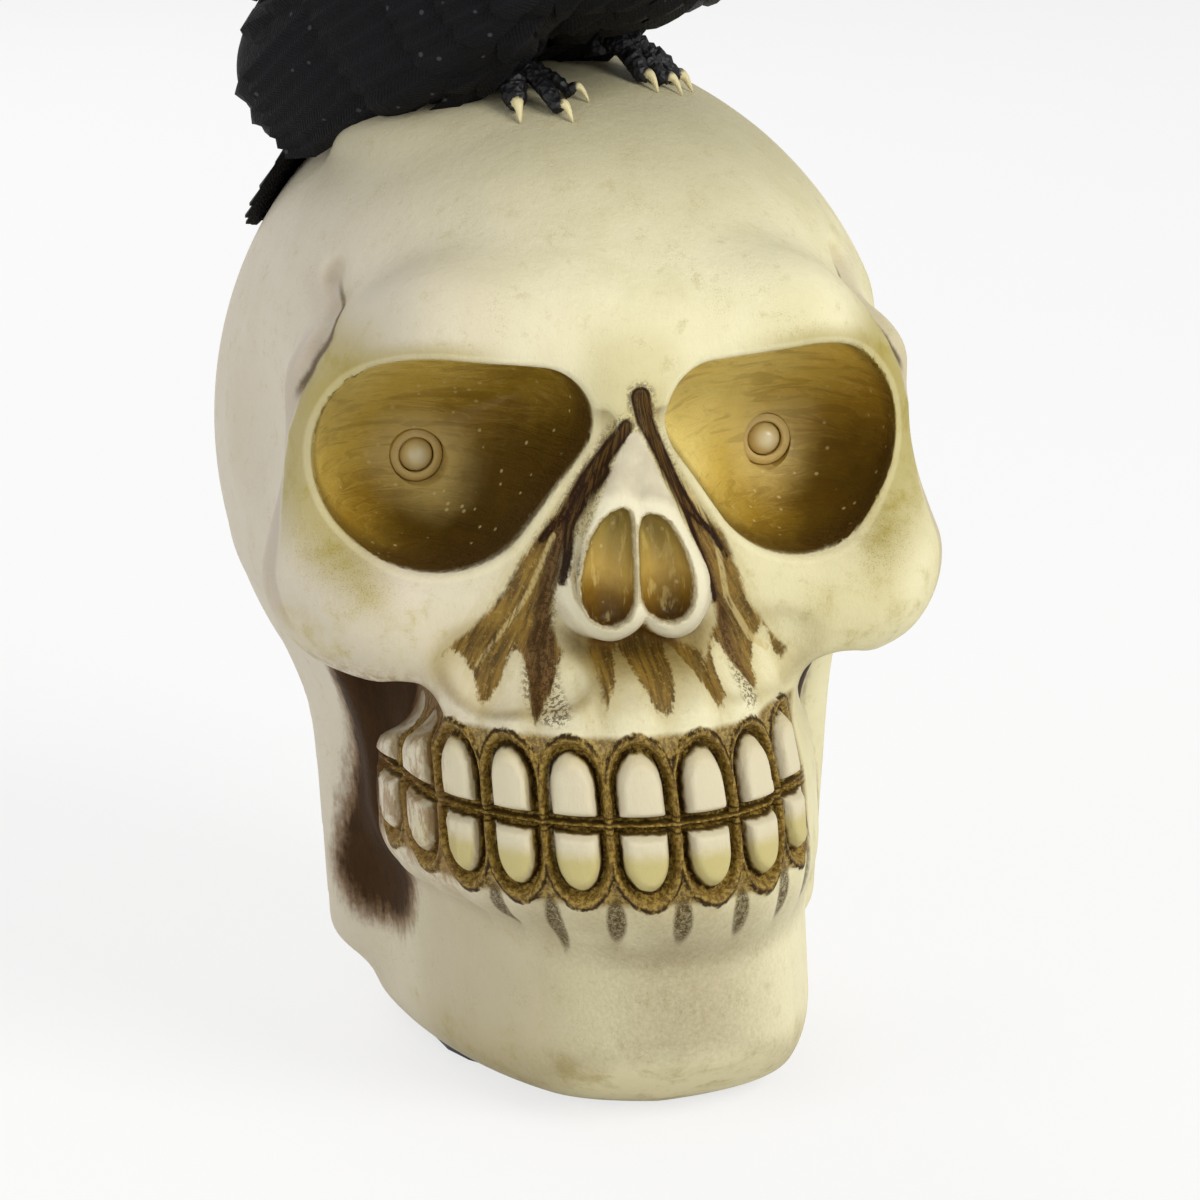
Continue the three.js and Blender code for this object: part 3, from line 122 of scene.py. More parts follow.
TEMPLE_CREASE = ((37.6, -25.5, 120.4), (38.4, -31.4, 117.6), (41.2, -38, 113.4), (44.3, -39.6, 108.7),
                 (46.6, -37.6, 102.5))
TEMPLE_LINE = ((70, -44), (77, -42.5), (85, -39.5), (95, -35.5), (103.5, -37.8), (108.7, -39.4), (113, -37.3),
               (116.7, -30.6), (119, -26))
PERCH = ((-18, -4.8, 136.1), (15, 12, 5.55))
TOOTH_ARC = (-27.0, 31.0, 39.5)
TOOTH_SHIFT = -2.7
JAW_SHIFT = 1.5
BITE = 48.7
PITCH = 9.15
FIRST_GAP = 3.55
TOOTH_HALF = 3.6
TOOTH_TOP = (5.2, 5.6)
TOOTH_FOOT = (4.4, 5.8)
TOOTH_PARTING = 0.75  # half the gap between the two rows
FACE_LEAN = (50, 0.08, 62, 88)  # depth of the change, share, level, top
JAW_ROUND = (31, 61.8, 44.0)  # half lengths sideways, ahead and behind
CHIN_SLOPE = (0.6, 0.8, 28.5, 0.12)  # forward, down, where it starts, aside
SOCKET = ((26.6, 96.8), 15.4, (12.8, 103.0), 7.7)
SOCKET_MIDDLE = (27.0, 96.8)
SOCKET_BOWL = (15.2, 22.0)  # how far in from the edge it deepens, and how deep
SOCKET_MOUTH = (-54, 0.3, 12.6)  # front, slant sideways, from where
NOSE_LOBES = (
    ((-2.2, 92.2), (-3.7, 91.8), (-5.4, 90.4), (-6.9, 88.2), (-8.2, 85.3), (-9.1, 82.4), (-9.0, 79.4), (-7.9, 77.0),
     (-6.2, 75.7), (-4.4, 75.6), (-2.7, 76.8), (-1.7, 79.2), (-1.4, 82.5), (-1.1, 86.5), (-0.8, 89.6), (-1.1, 91.6)),
    ((0.3, 90.6), (1.3, 91.3), (2.8, 91.0), (4.2, 90.0), (5.3, 88.2), (6.1, 86.0), (6.6, 83.3), (6.7, 80.6),
     (6.3, 78.2), (5.3, 76.6), (3.8, 75.9), (1.9, 76.3), (0.1, 77.7), (-0.9, 79.9), (-0.9, 83.0), (-0.5, 86.4),
     (-0.2, 89.0)),
)
NOSE_FRONT = ((70, -60), (75, -62.3), (78, -64.3), (81, -65), (84, -64.8), (87, -63.8), (90, -62.8), (93, -61.8),
              (97, -60))
NOSE_BOWL = (3.8, 4.4)  # as for the sockets
NOSE_RIM = ((5.4, 78.4), 5.8, (0.2, 101.2), 1.1)
NOSE_RIM_SHIFT = -0.2
CREASE_CUT = (2.4, 2.4)  # radii at both ends


def lean(y, z):
    """How far the face leans sideways, which grows towards the front and away from one level."""
    depth, share, level, top = FACE_LEAN
    return np.clip(-y / depth, 0, 1) * share * (level - np.minimum(z, top))


def form(kind, x, y, z, values):
    return (egg if kind == "egg" else strut)(x, y, z, *values)


def drop(x, z, large, radius, small, tip):
    """Distance to the flat outline drawn tight round two circles, the larger one first."""
    dx, dz = small[0] - large[0], small[1] - large[1]
    span = math.hypot(dx, dz)
    along = ((x - large[0]) * dx + (z - large[1]) * dz) / span
    across = np.abs((x - large[0]) * dz - (z - large[1]) * dx) / span
    sine = (radius - tip) / span
    cosine = math.sqrt(max(1 - sine * sine, 0.01))
    k = cosine * along - sine * across
    d = cosine * across + sine * along - radius
    d = np.where(k < 0, np.hypot(along, across) - radius, d)
    return np.where(k > cosine * span, np.hypot(along - span, across) - tip, d)


def within(side, z, corners):
    """Distance to a closed outline in the plane of the face, negative inside."""
    far = np.full(np.shape(side), 1e9)
    inside = np.zeros(np.shape(side), bool)
    for a, b in zip(corners, corners[1:] + corners[:1]):
        dx, dz = b[0] - a[0], b[1] - a[1]
        t = np.clip(((side - a[0]) * dx + (z - a[1]) * dz) / (dx * dx + dz * dz), 0, 1)
        far = np.minimum(far, np.hypot(side - a[0] - t * dx, z - a[1] - t * dz))
        inside ^= ((a[1] > z) != (b[1] > z)) & (side < a[0] + (z - a[1]) * dx / (dz or 1e-9))
    return np.where(inside, -far, far)


def between(value, places):
    """A height or depth read off a line of (value, result) places."""
    return np.interp(value, *zip(*places))


def nose_outline(side, y, z):
    """Distance to the outlines of the two lobes of the nose opening."""
    side, y, z = np.broadcast_arrays(side, y, z)
    d = np.full(side.shape, 30.0)
    near = (np.abs(side) < 18) & (np.abs(z - 83) < 18) & (y < -44)
    d[near] = np.minimum(*(within(side[near], z[near], lobe) for lobe in NOSE_LOBES))
    return d


_arc_turn = np.linspace(-math.pi, math.pi, 721)
_arc_step = np.hypot(TOOTH_ARC[1] * np.diff(np.sin(_arc_turn)), TOOTH_ARC[2] * np.diff(np.cos(_arc_turn)))
_arc_reach = np.concatenate([[0], np.cumsum(_arc_step)])
_arc_reach -= _arc_reach[360]


def along_arc(x, y):
    """Length along the dental arch from its middle, to the skull's left."""
    turn = np.arctan2((x - TOOTH_SHIFT) / TOOTH_ARC[1], -(y - TOOTH_ARC[0]) / TOOTH_ARC[2])
    return np.interp(turn, _arc_turn, _arc_reach)


def tooth_rise(u):
    """How much the bite climbs towards the ends of the row."""
    return 1.7 * ease(-31, -44, u) + 1.1 * ease(19, 24, u)


def tooth_outline(u, z):
    """Distance to the nearest tooth's outline, and height above the bite."""
    across = (u - FIRST_GAP) - PITCH * (np.floor((u - FIRST_GAP) / PITCH) + 0.5)
    v = z - BITE - tooth_rise(u)
    upper = np.hypot(across / TOOTH_HALF, np.maximum(v - TOOTH_TOP[0], 0) / TOOTH_TOP[1]) - 1
    lower = np.hypot(across / TOOTH_HALF, np.maximum(-v - TOOTH_FOOT[0], 0) / TOOTH_FOOT[1]) - 1
    q = np.where(v > 0, upper, lower) * TOOTH_HALF
    return np.maximum(q, TOOTH_PARTING - np.abs(v)), v, across


def rim_distance(side, z):
    """Distance to the outline of the raised rim round the nose."""
    return drop(np.abs(side - NOSE_RIM_SHIFT), z, *NOSE_RIM)


def tooth_relief(u, z):
    """How far teeth, their rims, the bite and the roots stand out of the jaws."""
    d, v, across = tooth_outline(u, z)
    reach = (1 - ease(27, 30, u)) * (1 - ease(50, 56, -u))
    band = ease(14.2, 12.4, np.abs(v)) * reach
    face = 1.5 * ease(0.1, 1.5, -d) - 0.035 * across ** 2
    rim = 0.75 * bell(d - 0.95, 0.55)
    groove = -0.75 * bell(d - 0.05, 0.4)
    seam = -0.55 * bell(v, 0.7) + 0.35 * bell(v, 0.22)
    roots = 0.7 * np.cos(across * math.pi / PITCH) * ease(11, 15, v) * ease(27, 19, v) * reach
    under = 0.5 * np.cos(across * math.pi / PITCH) * ease(11, 13, -v) * ease(24, 16, -v) * reach
    return band * (np.where(d < 0.4, face, 0) + rim + groove + seam) + roots + under


def bone_field(x, y, z):
    """The casting without its sockets and nose openings."""
    side = x - lean(y, z)
    away = np.abs(side)
    d = None
    for kind, *values, blend in BONES:
        bone = form(kind, away, y, z, values)
        d = bone if d is None else soft_min(d, bone, blend)
    d = soft_min(d, egg(x, y, z, *PERCH), 8)
    round_ = np.hypot((side - TOOTH_SHIFT) / TOOTH_ARC[1], (y - TOOTH_ARC[0]) / TOOTH_ARC[2]) - 1
    relief = tooth_relief(along_arc(side, y), z)
    d = soft_min(d, soft_max(round_ * TOOTH_ARC[1], np.abs(z - 51) - 18, 8) - relief, 8)
    wide, ahead, behind = JAW_ROUND
    beside = np.abs(side - JAW_SHIFT)
    jaw = (np.hypot(beside / wide, y / np.where(y < 0, ahead, behind)) - 1) * wide
    jaw = soft_max(soft_max(jaw, -z - 1, 14), z - 52, 8)
    forward, down, start, aside = CHIN_SLOPE
    jaw = soft_max(jaw, -y * forward - z * down - start + away * aside, 3)
    d = soft_min(d, jaw - 0.5 * relief, 8)
    d = soft_min(d, strut(beside, y, z, *RAMUS), 6)
    for kind, *values, blend in HOLLOWS:
        d = soft_max(d, -form(kind, away, y, z, values), blend)
    for a, b in zip(TEMPLE_CREASE, TEMPLE_CREASE[1:]):
        d = soft_max(d, -strut(away, y, z, a, b, *CREASE_CUT), 1.4)
    return d - 0.5 * ease(0.9, -1.1, rim_distance(side, z)) * ease(-42, -50, y)


def skull_field(x, y, z):
    """The casting from outside, with its eye sockets and nose openings and its flat underside."""
    d = bone_field(x, y, z)
    side = x - lean(y, z)
    away = np.abs(side)
    outline = drop(away, z, *SOCKET)
    radius, depth = SOCKET_BOWL
    mouth, slant, inner = SOCKET_MOUTH
    floor = y - (mouth + slant * (away - inner)) - depth * np.sqrt(1 - np.clip(1 + outline / radius, 0, 1) ** 2)
    d = soft_max(d, -np.maximum(outline, floor), 1.1)
    outline = nose_outline(side, y, z)
    radius, depth = NOSE_BOWL
    bowl = depth * np.sqrt(1 - np.clip(1 + outline / radius, 0, 1) ** 2)
    d = soft_max(d, -np.maximum(outline, y - between(z, NOSE_FRONT) - bowl), 0.5)
    return np.maximum(d, -z)


def grid(stretches, step):
    """Grid lines along the three axes: a start, then (end, spacing in steps) for each stretch."""
    axes = []
    for start, *parts in stretches:
        lines = [start]
        for end, spacing in parts:
            count = max(1, round((end - lines[-1]) / (step * spacing)))
            lines.extend(np.linspace(lines[-1], end, count + 1)[1:])
        axes.append(np.array(lines, np.float32))
    return axes


def surface_nets(field, lines):
    """Vertices and quads of the closed surface where a field on a grid changes sign."""
    inside = field < 0
    corner = sum(inside[i:inside.shape[0] - 1 + i, j:inside.shape[1] - 1 + j, k:inside.shape[2] - 1 + k]
                 .astype(np.uint8) for i in (0, 1) for j in (0, 1) for k in (0, 1))
    cells = np.argwhere((corner > 0) & (corner < 8))
    number = np.full(corner.shape, -1, np.int32)
    number[tuple(cells.T)] = np.arange(len(cells))
    total = np.zeros((len(cells), 3))
    count = np.zeros(len(cells))
    for axis in range(3):
        b, c = (axis + 1) % 3, (axis + 2) % 3
        for step_b in (0, 1):
            for step_c in (0, 1):
                start = cells.copy()
                start[:, b] += step_b
                start[:, c] += step_c
                end = start.copy()
                end[:, axis] += 1
                f0, f1 = field[tuple(start.T)], field[tuple(end.T)]
                cross = (f0 < 0) != (f1 < 0)
                t = np.where(cross, f0 / np.where(cross, f0 - f1, 1), 0)
                place = np.zeros((len(cells), 3))
                place[:, b] = lines[b][start[:, b]]
                place[:, c] = lines[c][start[:, c]]
                near, far = lines[axis][start[:, axis]], lines[axis][end[:, axis]]
                place[:, axis] = near + (far - near) * t
                total += place * cross[:, None]
                count += cross
    quads = []
    for axis in range(3):
        b, c = (axis + 1) % 3, (axis + 2) % 3
        low = [slice(None)] * 3
        high = [slice(None)] * 3
        low[axis], high[axis] = slice(None, -1), slice(1, None)
        for d in (b, c):
            low[d] = high[d] = slice(1, -1)
        near, far = inside[tuple(low)], inside[tuple(high)]
        for out in (True, False):
            edges = np.argwhere(near & ~far if out else ~near & far)
            ring = []
            for step_b, step_c in ((0, 0), (1, 0), (1, 1), (0, 1)):
                cell = edges.copy()
                cell[:, b] += step_b
                cell[:, c] += step_c
                ring.append(number[tuple(cell.T)])
            quads.append(np.stack(ring if out else ring[::-1], 1))
    return total / count[:, None], np.concatenate(quads)


def slope_of(function, points, step=0.04):
    """Gradient of a field at points, by central differences."""
    parts = []
    for axis in range(3):
        shift = np.zeros(3)
        shift[axis] = step
        ahead, behind = points + shift, points - shift
        parts.append((function(*ahead.T) - function(*behind.T)) / (2 * step))
    return np.stack(parts, 1)


def sample(function, lines, block=8, batch=400):
    """The field on a grid: exact in the blocks near the surface, one value for each block elsewhere."""
    count = [-(-len(axis) // block) for axis in lines]
    padded = [np.concatenate([axis, axis[-1] + np.arange(1, n * block - len(axis) + 1)]).reshape(n, block)
              for axis, n in zip(lines, count)]
    low, middle = [axis[:, 0] for axis in padded], [axis[:, block // 2] for axis in padded]
    half = [np.maximum(m - a, axis[:, -1] - m) for m, a, axis in zip(middle, low, padded)]
    coarse = function(middle[0][:, None, None], middle[1][None, :, None], middle[2][None, None, :])
    reach = np.sqrt(half[0][:, None, None] ** 2 + half[1][None, :, None] ** 2 + half[2][None, None, :] ** 2)
    field = np.empty((*count, block, block, block), np.float32)
    field[:] = coarse[..., None, None, None]
    near = np.argwhere(np.abs(coarse) < reach * 1.6 + 2)
    for start in range(0, len(near), batch):
        i, j, k = near[start:start + batch].T
        field[i, j, k] = function(padded[0][i][:, :, None, None], padded[1][j][:, None, :, None],
                                  padded[2][k][:, None, None, :])
    field = field.transpose(0, 3, 1, 4, 2, 5).reshape([n * block for n in count])
    return field[:len(lines[0]), :len(lines[1]), :len(lines[2])]


def field_mesh(function, stretches, step, nudge=0.5, rounds=2):
    """Vertices on the exact surface of a field, and quads, in millimetres."""
    lines = grid(stretches, step)
    points, quads = surface_nets(sample(function, lines), lines)
    for _ in range(rounds):
        slope = slope_of(function, points)
        size = np.maximum((slope ** 2).sum(1), 0.05)
        move = -slope * (function(*points.T) / size)[:, None]
        length = np.linalg.norm(move, axis=1)
        points = points + move * np.minimum(1, nudge / np.maximum(length, 1e-9))[:, None]
    return points, quads.tolist()


def add_object(name, data):
    """A new object in the scene for a mesh, light or camera."""
    piece = bpy.data.objects.new(name, data)
    bpy.context.scene.collection.objects.link(piece)
    return piece


def new_piece(name, points, faces, edges=()):
    """A mesh object from points in millimetres, with its origin at the frame's."""
    mesh = bpy.data.meshes.new(name)
    mesh.from_pydata(np.asarray(points, float) * MM, edges, faces)
    return add_object(name, mesh)


def only(*pieces):
    """Selects these pieces alone and makes the first one active."""
    bpy.ops.object.select_all(action="DESELECT")
    for piece in pieces:
        piece.select_set(True)
    bpy.context.view_layer.objects.active = pieces[0]


def edit_all(piece, **steps):
    """Runs mesh operators, each with its settings, on all of a piece."""
    only(piece)
    bpy.ops.object.mode_set(mode="EDIT")
    for name, settings in steps.items():
        bpy.ops.mesh.select_all(action="SELECT")
        getattr(bpy.ops.mesh, name)(**settings)
    bpy.ops.object.mode_set(mode="OBJECT")


def finish_modifier(piece, kind, **values):
    """Adds a modifier with these settings to a piece and applies it."""
    only(piece)
    modifier = piece.modifiers.new("work", kind)
    for key, value in values.items():
        setattr(modifier, key, value)
    bpy.ops.object.modifier_apply(modifier=modifier.name)


def combine(piece, tool, operation):
    finish_modifier(piece, "BOOLEAN", object=tool, operation=operation, solver="MANIFOLD")
    bpy.data.objects.remove(tool)


def take_away(piece, tool):
    """Cuts a tool piece out of a piece and removes the tool."""
    combine(piece, tool, "DIFFERENCE")


def add_to(piece, tool):
    """Joins a tool piece to a piece and removes the tool."""
    combine(piece, tool, "UNION")


def place_points(piece):
    """The places of a piece's vertices, in millimetres."""
    co = np.empty(len(piece.data.vertices) * 3, np.float32)
    piece.data.vertices.foreach_get("co", co)
    return co.reshape(-1, 3) / MM


def set_mask(piece, name, values):
    """Stores a value at each vertex, which the paint reads."""
    mask = piece.data.attributes.new(name, "FLOAT", "POINT")
    mask.data.foreach_set("value", np.asarray(values, np.float32))


# Materials

class Wire:
    """A socket of a node tree that can be used in sums."""

    def __init__(self, paint, socket):
        self.paint = paint
        self.socket = socket

    def _maths(self, operation, a, b=0.0):
        return self.paint.add("ShaderNodeMath", {"operation": operation}, {0: a, 1: b})

    def __add__(self, other):
        return self._maths("ADD", self, other)

    def __sub__(self, other):
        return self._maths("SUBTRACT", self, other)

    def __mul__(self, other):
        return self._maths("MULTIPLY", self, other)

    def __truediv__(self, other):
        return self._maths("DIVIDE", self, other)

    def __pow__(self, other):
        return self._maths("POWER", self, other)

    def __abs__(self):
        return self._maths("ABSOLUTE", self)

    def floor(self):
        return self._maths("FLOOR", self)

    def at_least(self, other):
        return self._maths("MAXIMUM", self, other)

    def at_most(self, other):
        return self._maths("MINIMUM", self, other)

    def __rsub__(self, other):
        return self._maths("SUBTRACT", other, self)

    __radd__ = __add__
    __rmul__ = __mul__


class Paint:
    """A material whose nodes are added by one method."""

    def __init__(self, name):
        self.material = bpy.data.materials.new(name)
        self.material.use_nodes = True
        self.tree = self.material.node_tree
        self.tree.nodes.clear()

    def add(self, kind, settings=None, inputs=None, out=0):
        node = self.tree.nodes.new(kind)
        for key, value in (settings or {}).items():
            if key == "stops":
                ramp = node.color_ramp
                while len(ramp.elements) < len(value):
                    ramp.elements.new(0.5)
                for element, (place, colour) in zip(ramp.elements, value):
                    element.position = place
                    element.color = colour
            else:
                setattr(node, key, value)
        for key, value in (inputs or {}).items():
            if isinstance(value, Wire):
                self.tree.links.new(value.socket, node.inputs[key])
            else:
                node.inputs[key].default_value = value
        return Wire(self, node.outputs[out])

    def mix(self, factor, a, b):
        return self.add("ShaderNodeMix", {"data_type": "RGBA"}, {0: factor, 6: a, 7: b}, 2)

    def blend(self, value, low, high, first, second):
        """A colour between two codes, by a smooth step of a value."""
        return self.mix(self.steps(value, low, high), rgb(first), rgb(second))

    def mask(self, name):
        return self.add("ShaderNodeAttribute", {"attribute_name": name}, out=2)

    def places(self, stretch=(1, 1, 1), turn=(0, 0, 0)):
        """Object coordinates in millimetres, stretched."""
        spots = self.add("ShaderNodeTexCoord", out=3)
        return self.add("ShaderNodeMapping", None, {"Vector": spots, "Rotation": turn,
                                                    "Scale": [1000 * s for s in stretch]})

    def parts_of(self, vector):
        """The three parts of a vector."""
        split = self.add("ShaderNodeSeparateXYZ", None, {0: vector})
        return [Wire(self, output) for output in split.socket.node.outputs]

    def noise(self, vector, scale, detail=3.0, roughness=0.55, distortion=0.0):
        return self.add("ShaderNodeTexNoise", None, {"Vector": vector, "Scale": scale, "Detail": detail,
                                                     "Roughness": roughness, "Distortion": distortion})

    def cells(self, vector, scale, randomness=1.0):
        return self.add("ShaderNodeTexVoronoi", None, {"Vector": vector, "Scale": scale, "Randomness": randomness})

    def steps(self, value, low, high, to_low=0.0, to_high=1.0):
        """A smooth step of a value."""
        return self.add("ShaderNodeMapRange", {"interpolation_type": "SMOOTHSTEP"},
                        {0: value, 1: low, 2: high, 3: to_low, 4: to_high})

    def bump(self, height, strength, distance, normal=None):
        links = {"Height": height, "Strength": strength, "Distance": distance}
        if normal is not None:
            links["Normal"] = normal
        return self.add("ShaderNodeBump", None, links)

    def surface(self, **values):
        """The Principled shader and the output; values are its sockets."""
        shader = self.add("ShaderNodeBsdfPrincipled", None,
                          {key.replace("_", " "): value for key, value in values.items()})
        self.add_output(shader)
        return self.material

    def add_output(self, shader):
        node = self.tree.nodes.new("ShaderNodeOutputMaterial")
        self.tree.links.new(shader.socket, node.inputs[0])


def rgb(code):
    """A colour as seen, such as c8b48a, as a linear one."""
    parts = [int(code[i:i + 2], 16) / 255 for i in (0, 2, 4)]
    return [p / 12.92 if p <= 0.04045 else ((p + 0.055) / 1.055) ** 2.4 for p in parts] + [1.0]


# Places that several pieces share

CAMERA_AT = (-0.1379, -0.6497, 0.2297)
CAMERA_WAY = (0.21, 0.947, -0.242)
CAMERA_LENS = 136.5
KEY_POWER = 13.0
LIGHTS = (
    ("key", (0.75, -0.95, 0.85), (0, 0, 0.09), (0.7, 0.7), 1, (1, 0.985, 0.95)),
    ("side", (-1.1, -0.5, 0.45), (0, 0, 0.09), (0.9, 0.9), 0.34, (0.95, 0.96, 1)),
    ("back", (-0.3, 1.1, 0.9), (0, 0, 0.1), (1.0, 0.8), 0.4, (1, 1, 1)),
)
AMBIENT = 0.5
CROW_FOOT = np.array([-3.0, -10.0])
CROW_WAY = np.array([0.717, -0.697])
CROW_CROWN = 145.9


# Shapes made as by hand

def cylinder(name, radius, depth, at, turn=(0, 0, 0), sides=48, top=None):
    """An upright cylinder or cone round a place, in millimetres, turned."""
    bpy.ops.object.select_all(action="DESELECT")
    bpy.ops.mesh.primitive_cone_add(vertices=sides, radius1=radius * MM, radius2=(radius if top is None else top) * MM,
                                    depth=depth * MM, location=[v * MM for v in at], rotation=turn)
    return settle(name)


def brick(name, size, at, turn=(0, 0, 0)):
    """A block round a place, in millimetres, turned."""
    bpy.ops.object.select_all(action="DESELECT")
    bpy.ops.mesh.primitive_cube_add(size=1, location=[v * MM for v in at], rotation=turn,
                                    scale=[v * MM for v in size])
    return settle(name)


def settle(name):
    """Names the new object and moves its place into its mesh."""
    piece = bpy.context.object
    piece.name = piece.data.name = name
    bpy.ops.object.transform_apply(location=True, rotation=True, scale=True)
    return piece


def join_pieces(name, pieces):
    """Makes one piece of several."""
    only(*pieces)
    bpy.ops.object.join()
    pieces[0].name = pieces[0].data.name = name
    return pieces[0]


def smooth(piece, angle):
    """Smooth shading, with edges sharper than an angle kept."""
    only(piece)
    bpy.ops.object.shade_smooth_by_angle(angle=math.radians(angle))


def dress(node, width, slot, material, body="root", angle=25):
    """A copy of a CAD node with merged points and rounded edges stands for it."""
    piece = add_object(node + "_finished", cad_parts[node].data.copy())
    edit_all(piece, remove_doubles={"threshold": 0.00002}, dissolve_limited={"angle_limit": math.radians(1.5)})
    piece.data.name = piece.name
    if width:
        finish_modifier(piece, "BEVEL", width=width * MM, segments=2, limit_method="ANGLE",
                        angle_limit=math.radians(angle), use_clamp_overlap=True)
    smooth(piece, 35)
    hand_over(piece, slot, material, body, node)
    return piece


def hand_over(piece, slot, material, body, *nodes):
    """Gives a finished piece its material and its body, and hides the CAD nodes that it stands for."""
    piece.data.materials.clear()
    piece.data.materials.append(material)
    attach(piece, body)
    if nodes:
        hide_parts(*nodes)


# Skull

def box_of(node):
    """The low and high corners of a CAD node, in millimetres."""
    return [np.array(corner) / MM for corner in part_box(node)]


def middle_of(node):
    low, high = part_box(node)
    return (np.array(low) + np.array(high)) / 2 / MM


PLATE_LOW, PLATE_HIGH = box_of("base_plate")
PANEL_LOW, PANEL_HIGH = box_of("panel_bezel")
PANEL_TILT = math.radians(39.96)
PANEL_TURN = (PANEL_TILT - math.pi / 2, 0, 0)
PANEL_SIZE = PANEL_HIGH[0] - PANEL_LOW[0]
PANEL_DEPTH = 4.4
PANEL_OUT = np.array([0, math.cos(PANEL_TILT), math.sin(PANEL_TILT)])
PANEL_TOP = (PANEL_LOW + PANEL_HIGH) / 2 + PANEL_OUT * (PANEL_DEPTH - 0.3) / 2
SHELL_WALL = 5.5
LEDGE = 11.0
FIT = 0.6  # clearance round the plate, the bezel and the holders
BOSS_RADIUS = 9
RECESS = (8, -0.9)  # depth and middle height of the plate's cutter
THROAT = ((40.5, 45.2, 27), (0, 0, 10.2))  # size and middle of the way into the hollow
SCREW_PLACES = [(x, y, 4.8) for x in (-10, 10) for y in (-26.8, 26.8)]
POCKET_CLEAR = 7.5  # how far the pocket's cutter stands out of the skull
# bores: radius and length
SCREW_BORE = (1.8, 12)
LEAD_BORE = (1.6, 19)
LAMP_BORE = (3.9, 13)
LAMP_BORE_BACK = (5.3, 6)
PEG_BORE = (4.3, 12)
PEG_BEHIND = 10  # from the middle of the crow's feet
PEG_HEIGHT = 143
LYING = (math.pi / 2, 0, 0)
LAMPS = {side: middle_of("led_holder_" + side) for side in ("right", "left")}
HOLDER_FRONT = {side: box_of("led_holder_" + side)[0][1] - FIT for side in LAMPS}
CASTING_GRID = ((-54, (-44, 2.4), (-31, 1.5), (31, 1), (44, 1.5), (54, 2.4)),
                (-70, (-20, 1.6), (72, 4)),
                (-2, (32, 2.2), (66, 1), (113, 1.5), (151, 2.8)))
ROOM_GRID = ((-48, (48, 1)), (-66, (66, 1)), (9, (146, 1)))
ROOM_STEP = 2.6


def lamp_distance(x, z):
    """Distance to the nearer lamp's axis."""
    return np.minimum(*(np.hypot(x - lamp[0], z - lamp[2]) for lamp in LAMPS.values()))


def hollow_field(x, y, z):
    """The room inside the casting, its wall kept round the sockets, the lamps and the panel."""
    d = skull_field(x, y, z) + SHELL_WALL
    boss = np.maximum(lamp_distance(x, z) - BOSS_RADIUS, y - HOLDER_FRONT["left"] - SHELL_WALL)
    out = (y - PANEL_TOP[1]) * PANEL_OUT[1] + (z - PANEL_TOP[2]) * PANEL_OUT[2]
    along = (z - PANEL_TOP[2]) * PANEL_OUT[1] - (y - PANEL_TOP[1]) * PANEL_OUT[2]
    reach = PANEL_SIZE / 2 + SHELL_WALL
    pocket = np.maximum(np.maximum(np.abs(x), np.abs(along)) - reach, -out - PANEL_DEPTH - SHELL_WALL)
    return np.maximum(np.maximum(d, LEDGE - z), -np.minimum(boss, pocket))


def seat_tools():
    """What is cut from the casting: recess, throat, pocket, bores and holes."""
    width, length, _ = PLATE_HIGH - PLATE_LOW + FIT
    deep, level = RECESS
    shift = (length - width) / 2
    recess = cylinder("recess", width / 2, deep, (0, shift, level), sides=96)
    add_to(recess, cylinder("recess_end", width / 2, deep, (0, -shift, level), sides=96))
    add_to(recess, brick("recess_middle", (width, length - width, deep), (0, 0, level)))
    tools = [recess, brick("throat", *THROAT)]
    tools += [cylinder("screw_hole", *SCREW_BORE, place, sides=24) for place in SCREW_PLACES]
    wide = PANEL_SIZE + FIT
    middle = PANEL_TOP + PANEL_OUT * (POCKET_CLEAR - PANEL_DEPTH) / 2
    tools.append(brick("pocket", (wide, wide, PANEL_DEPTH + POCKET_CLEAR), middle, PANEL_TURN))
    lead = PANEL_TOP - PANEL_OUT * PANEL_DEPTH
    tools.append(cylinder("lead_hole", *LEAD_BORE, (0, lead[1] - 7, lead[2]), LYING, 24))
    for side, (x, _, z) in LAMPS.items():
        front = HOLDER_FRONT[side]
        tools.append(cylinder("bore", *LAMP_BORE, (x, front + 1, z), LYING))
        tools.append(cylinder("bore_back", *LAMP_BORE_BACK, (x, front + SHELL_WALL + 2.9, z), LYING))
    peg = CROW_FOOT - PEG_BEHIND * CROW_WAY
    tools.append(cylinder("peg_hole", *PEG_BORE, (*peg, PEG_HEIGHT), sides=32))
    return tools


def near_strokes(side, z, strokes):
    """Distance to the nearest of some tapering strokes: (start radius, end radius, places)."""
    d = np.full(np.shape(side), 99.0)
    for first, last, places in strokes:
        radii = np.linspace(first, last, len(places))
        for (a, c), (b, e), ra, rb in zip(places, places[1:], radii, radii[1:]):
            d = np.minimum(d, strut(side, 0, z, (a, 0, c), (b, 0, e), ra, rb))
    return d


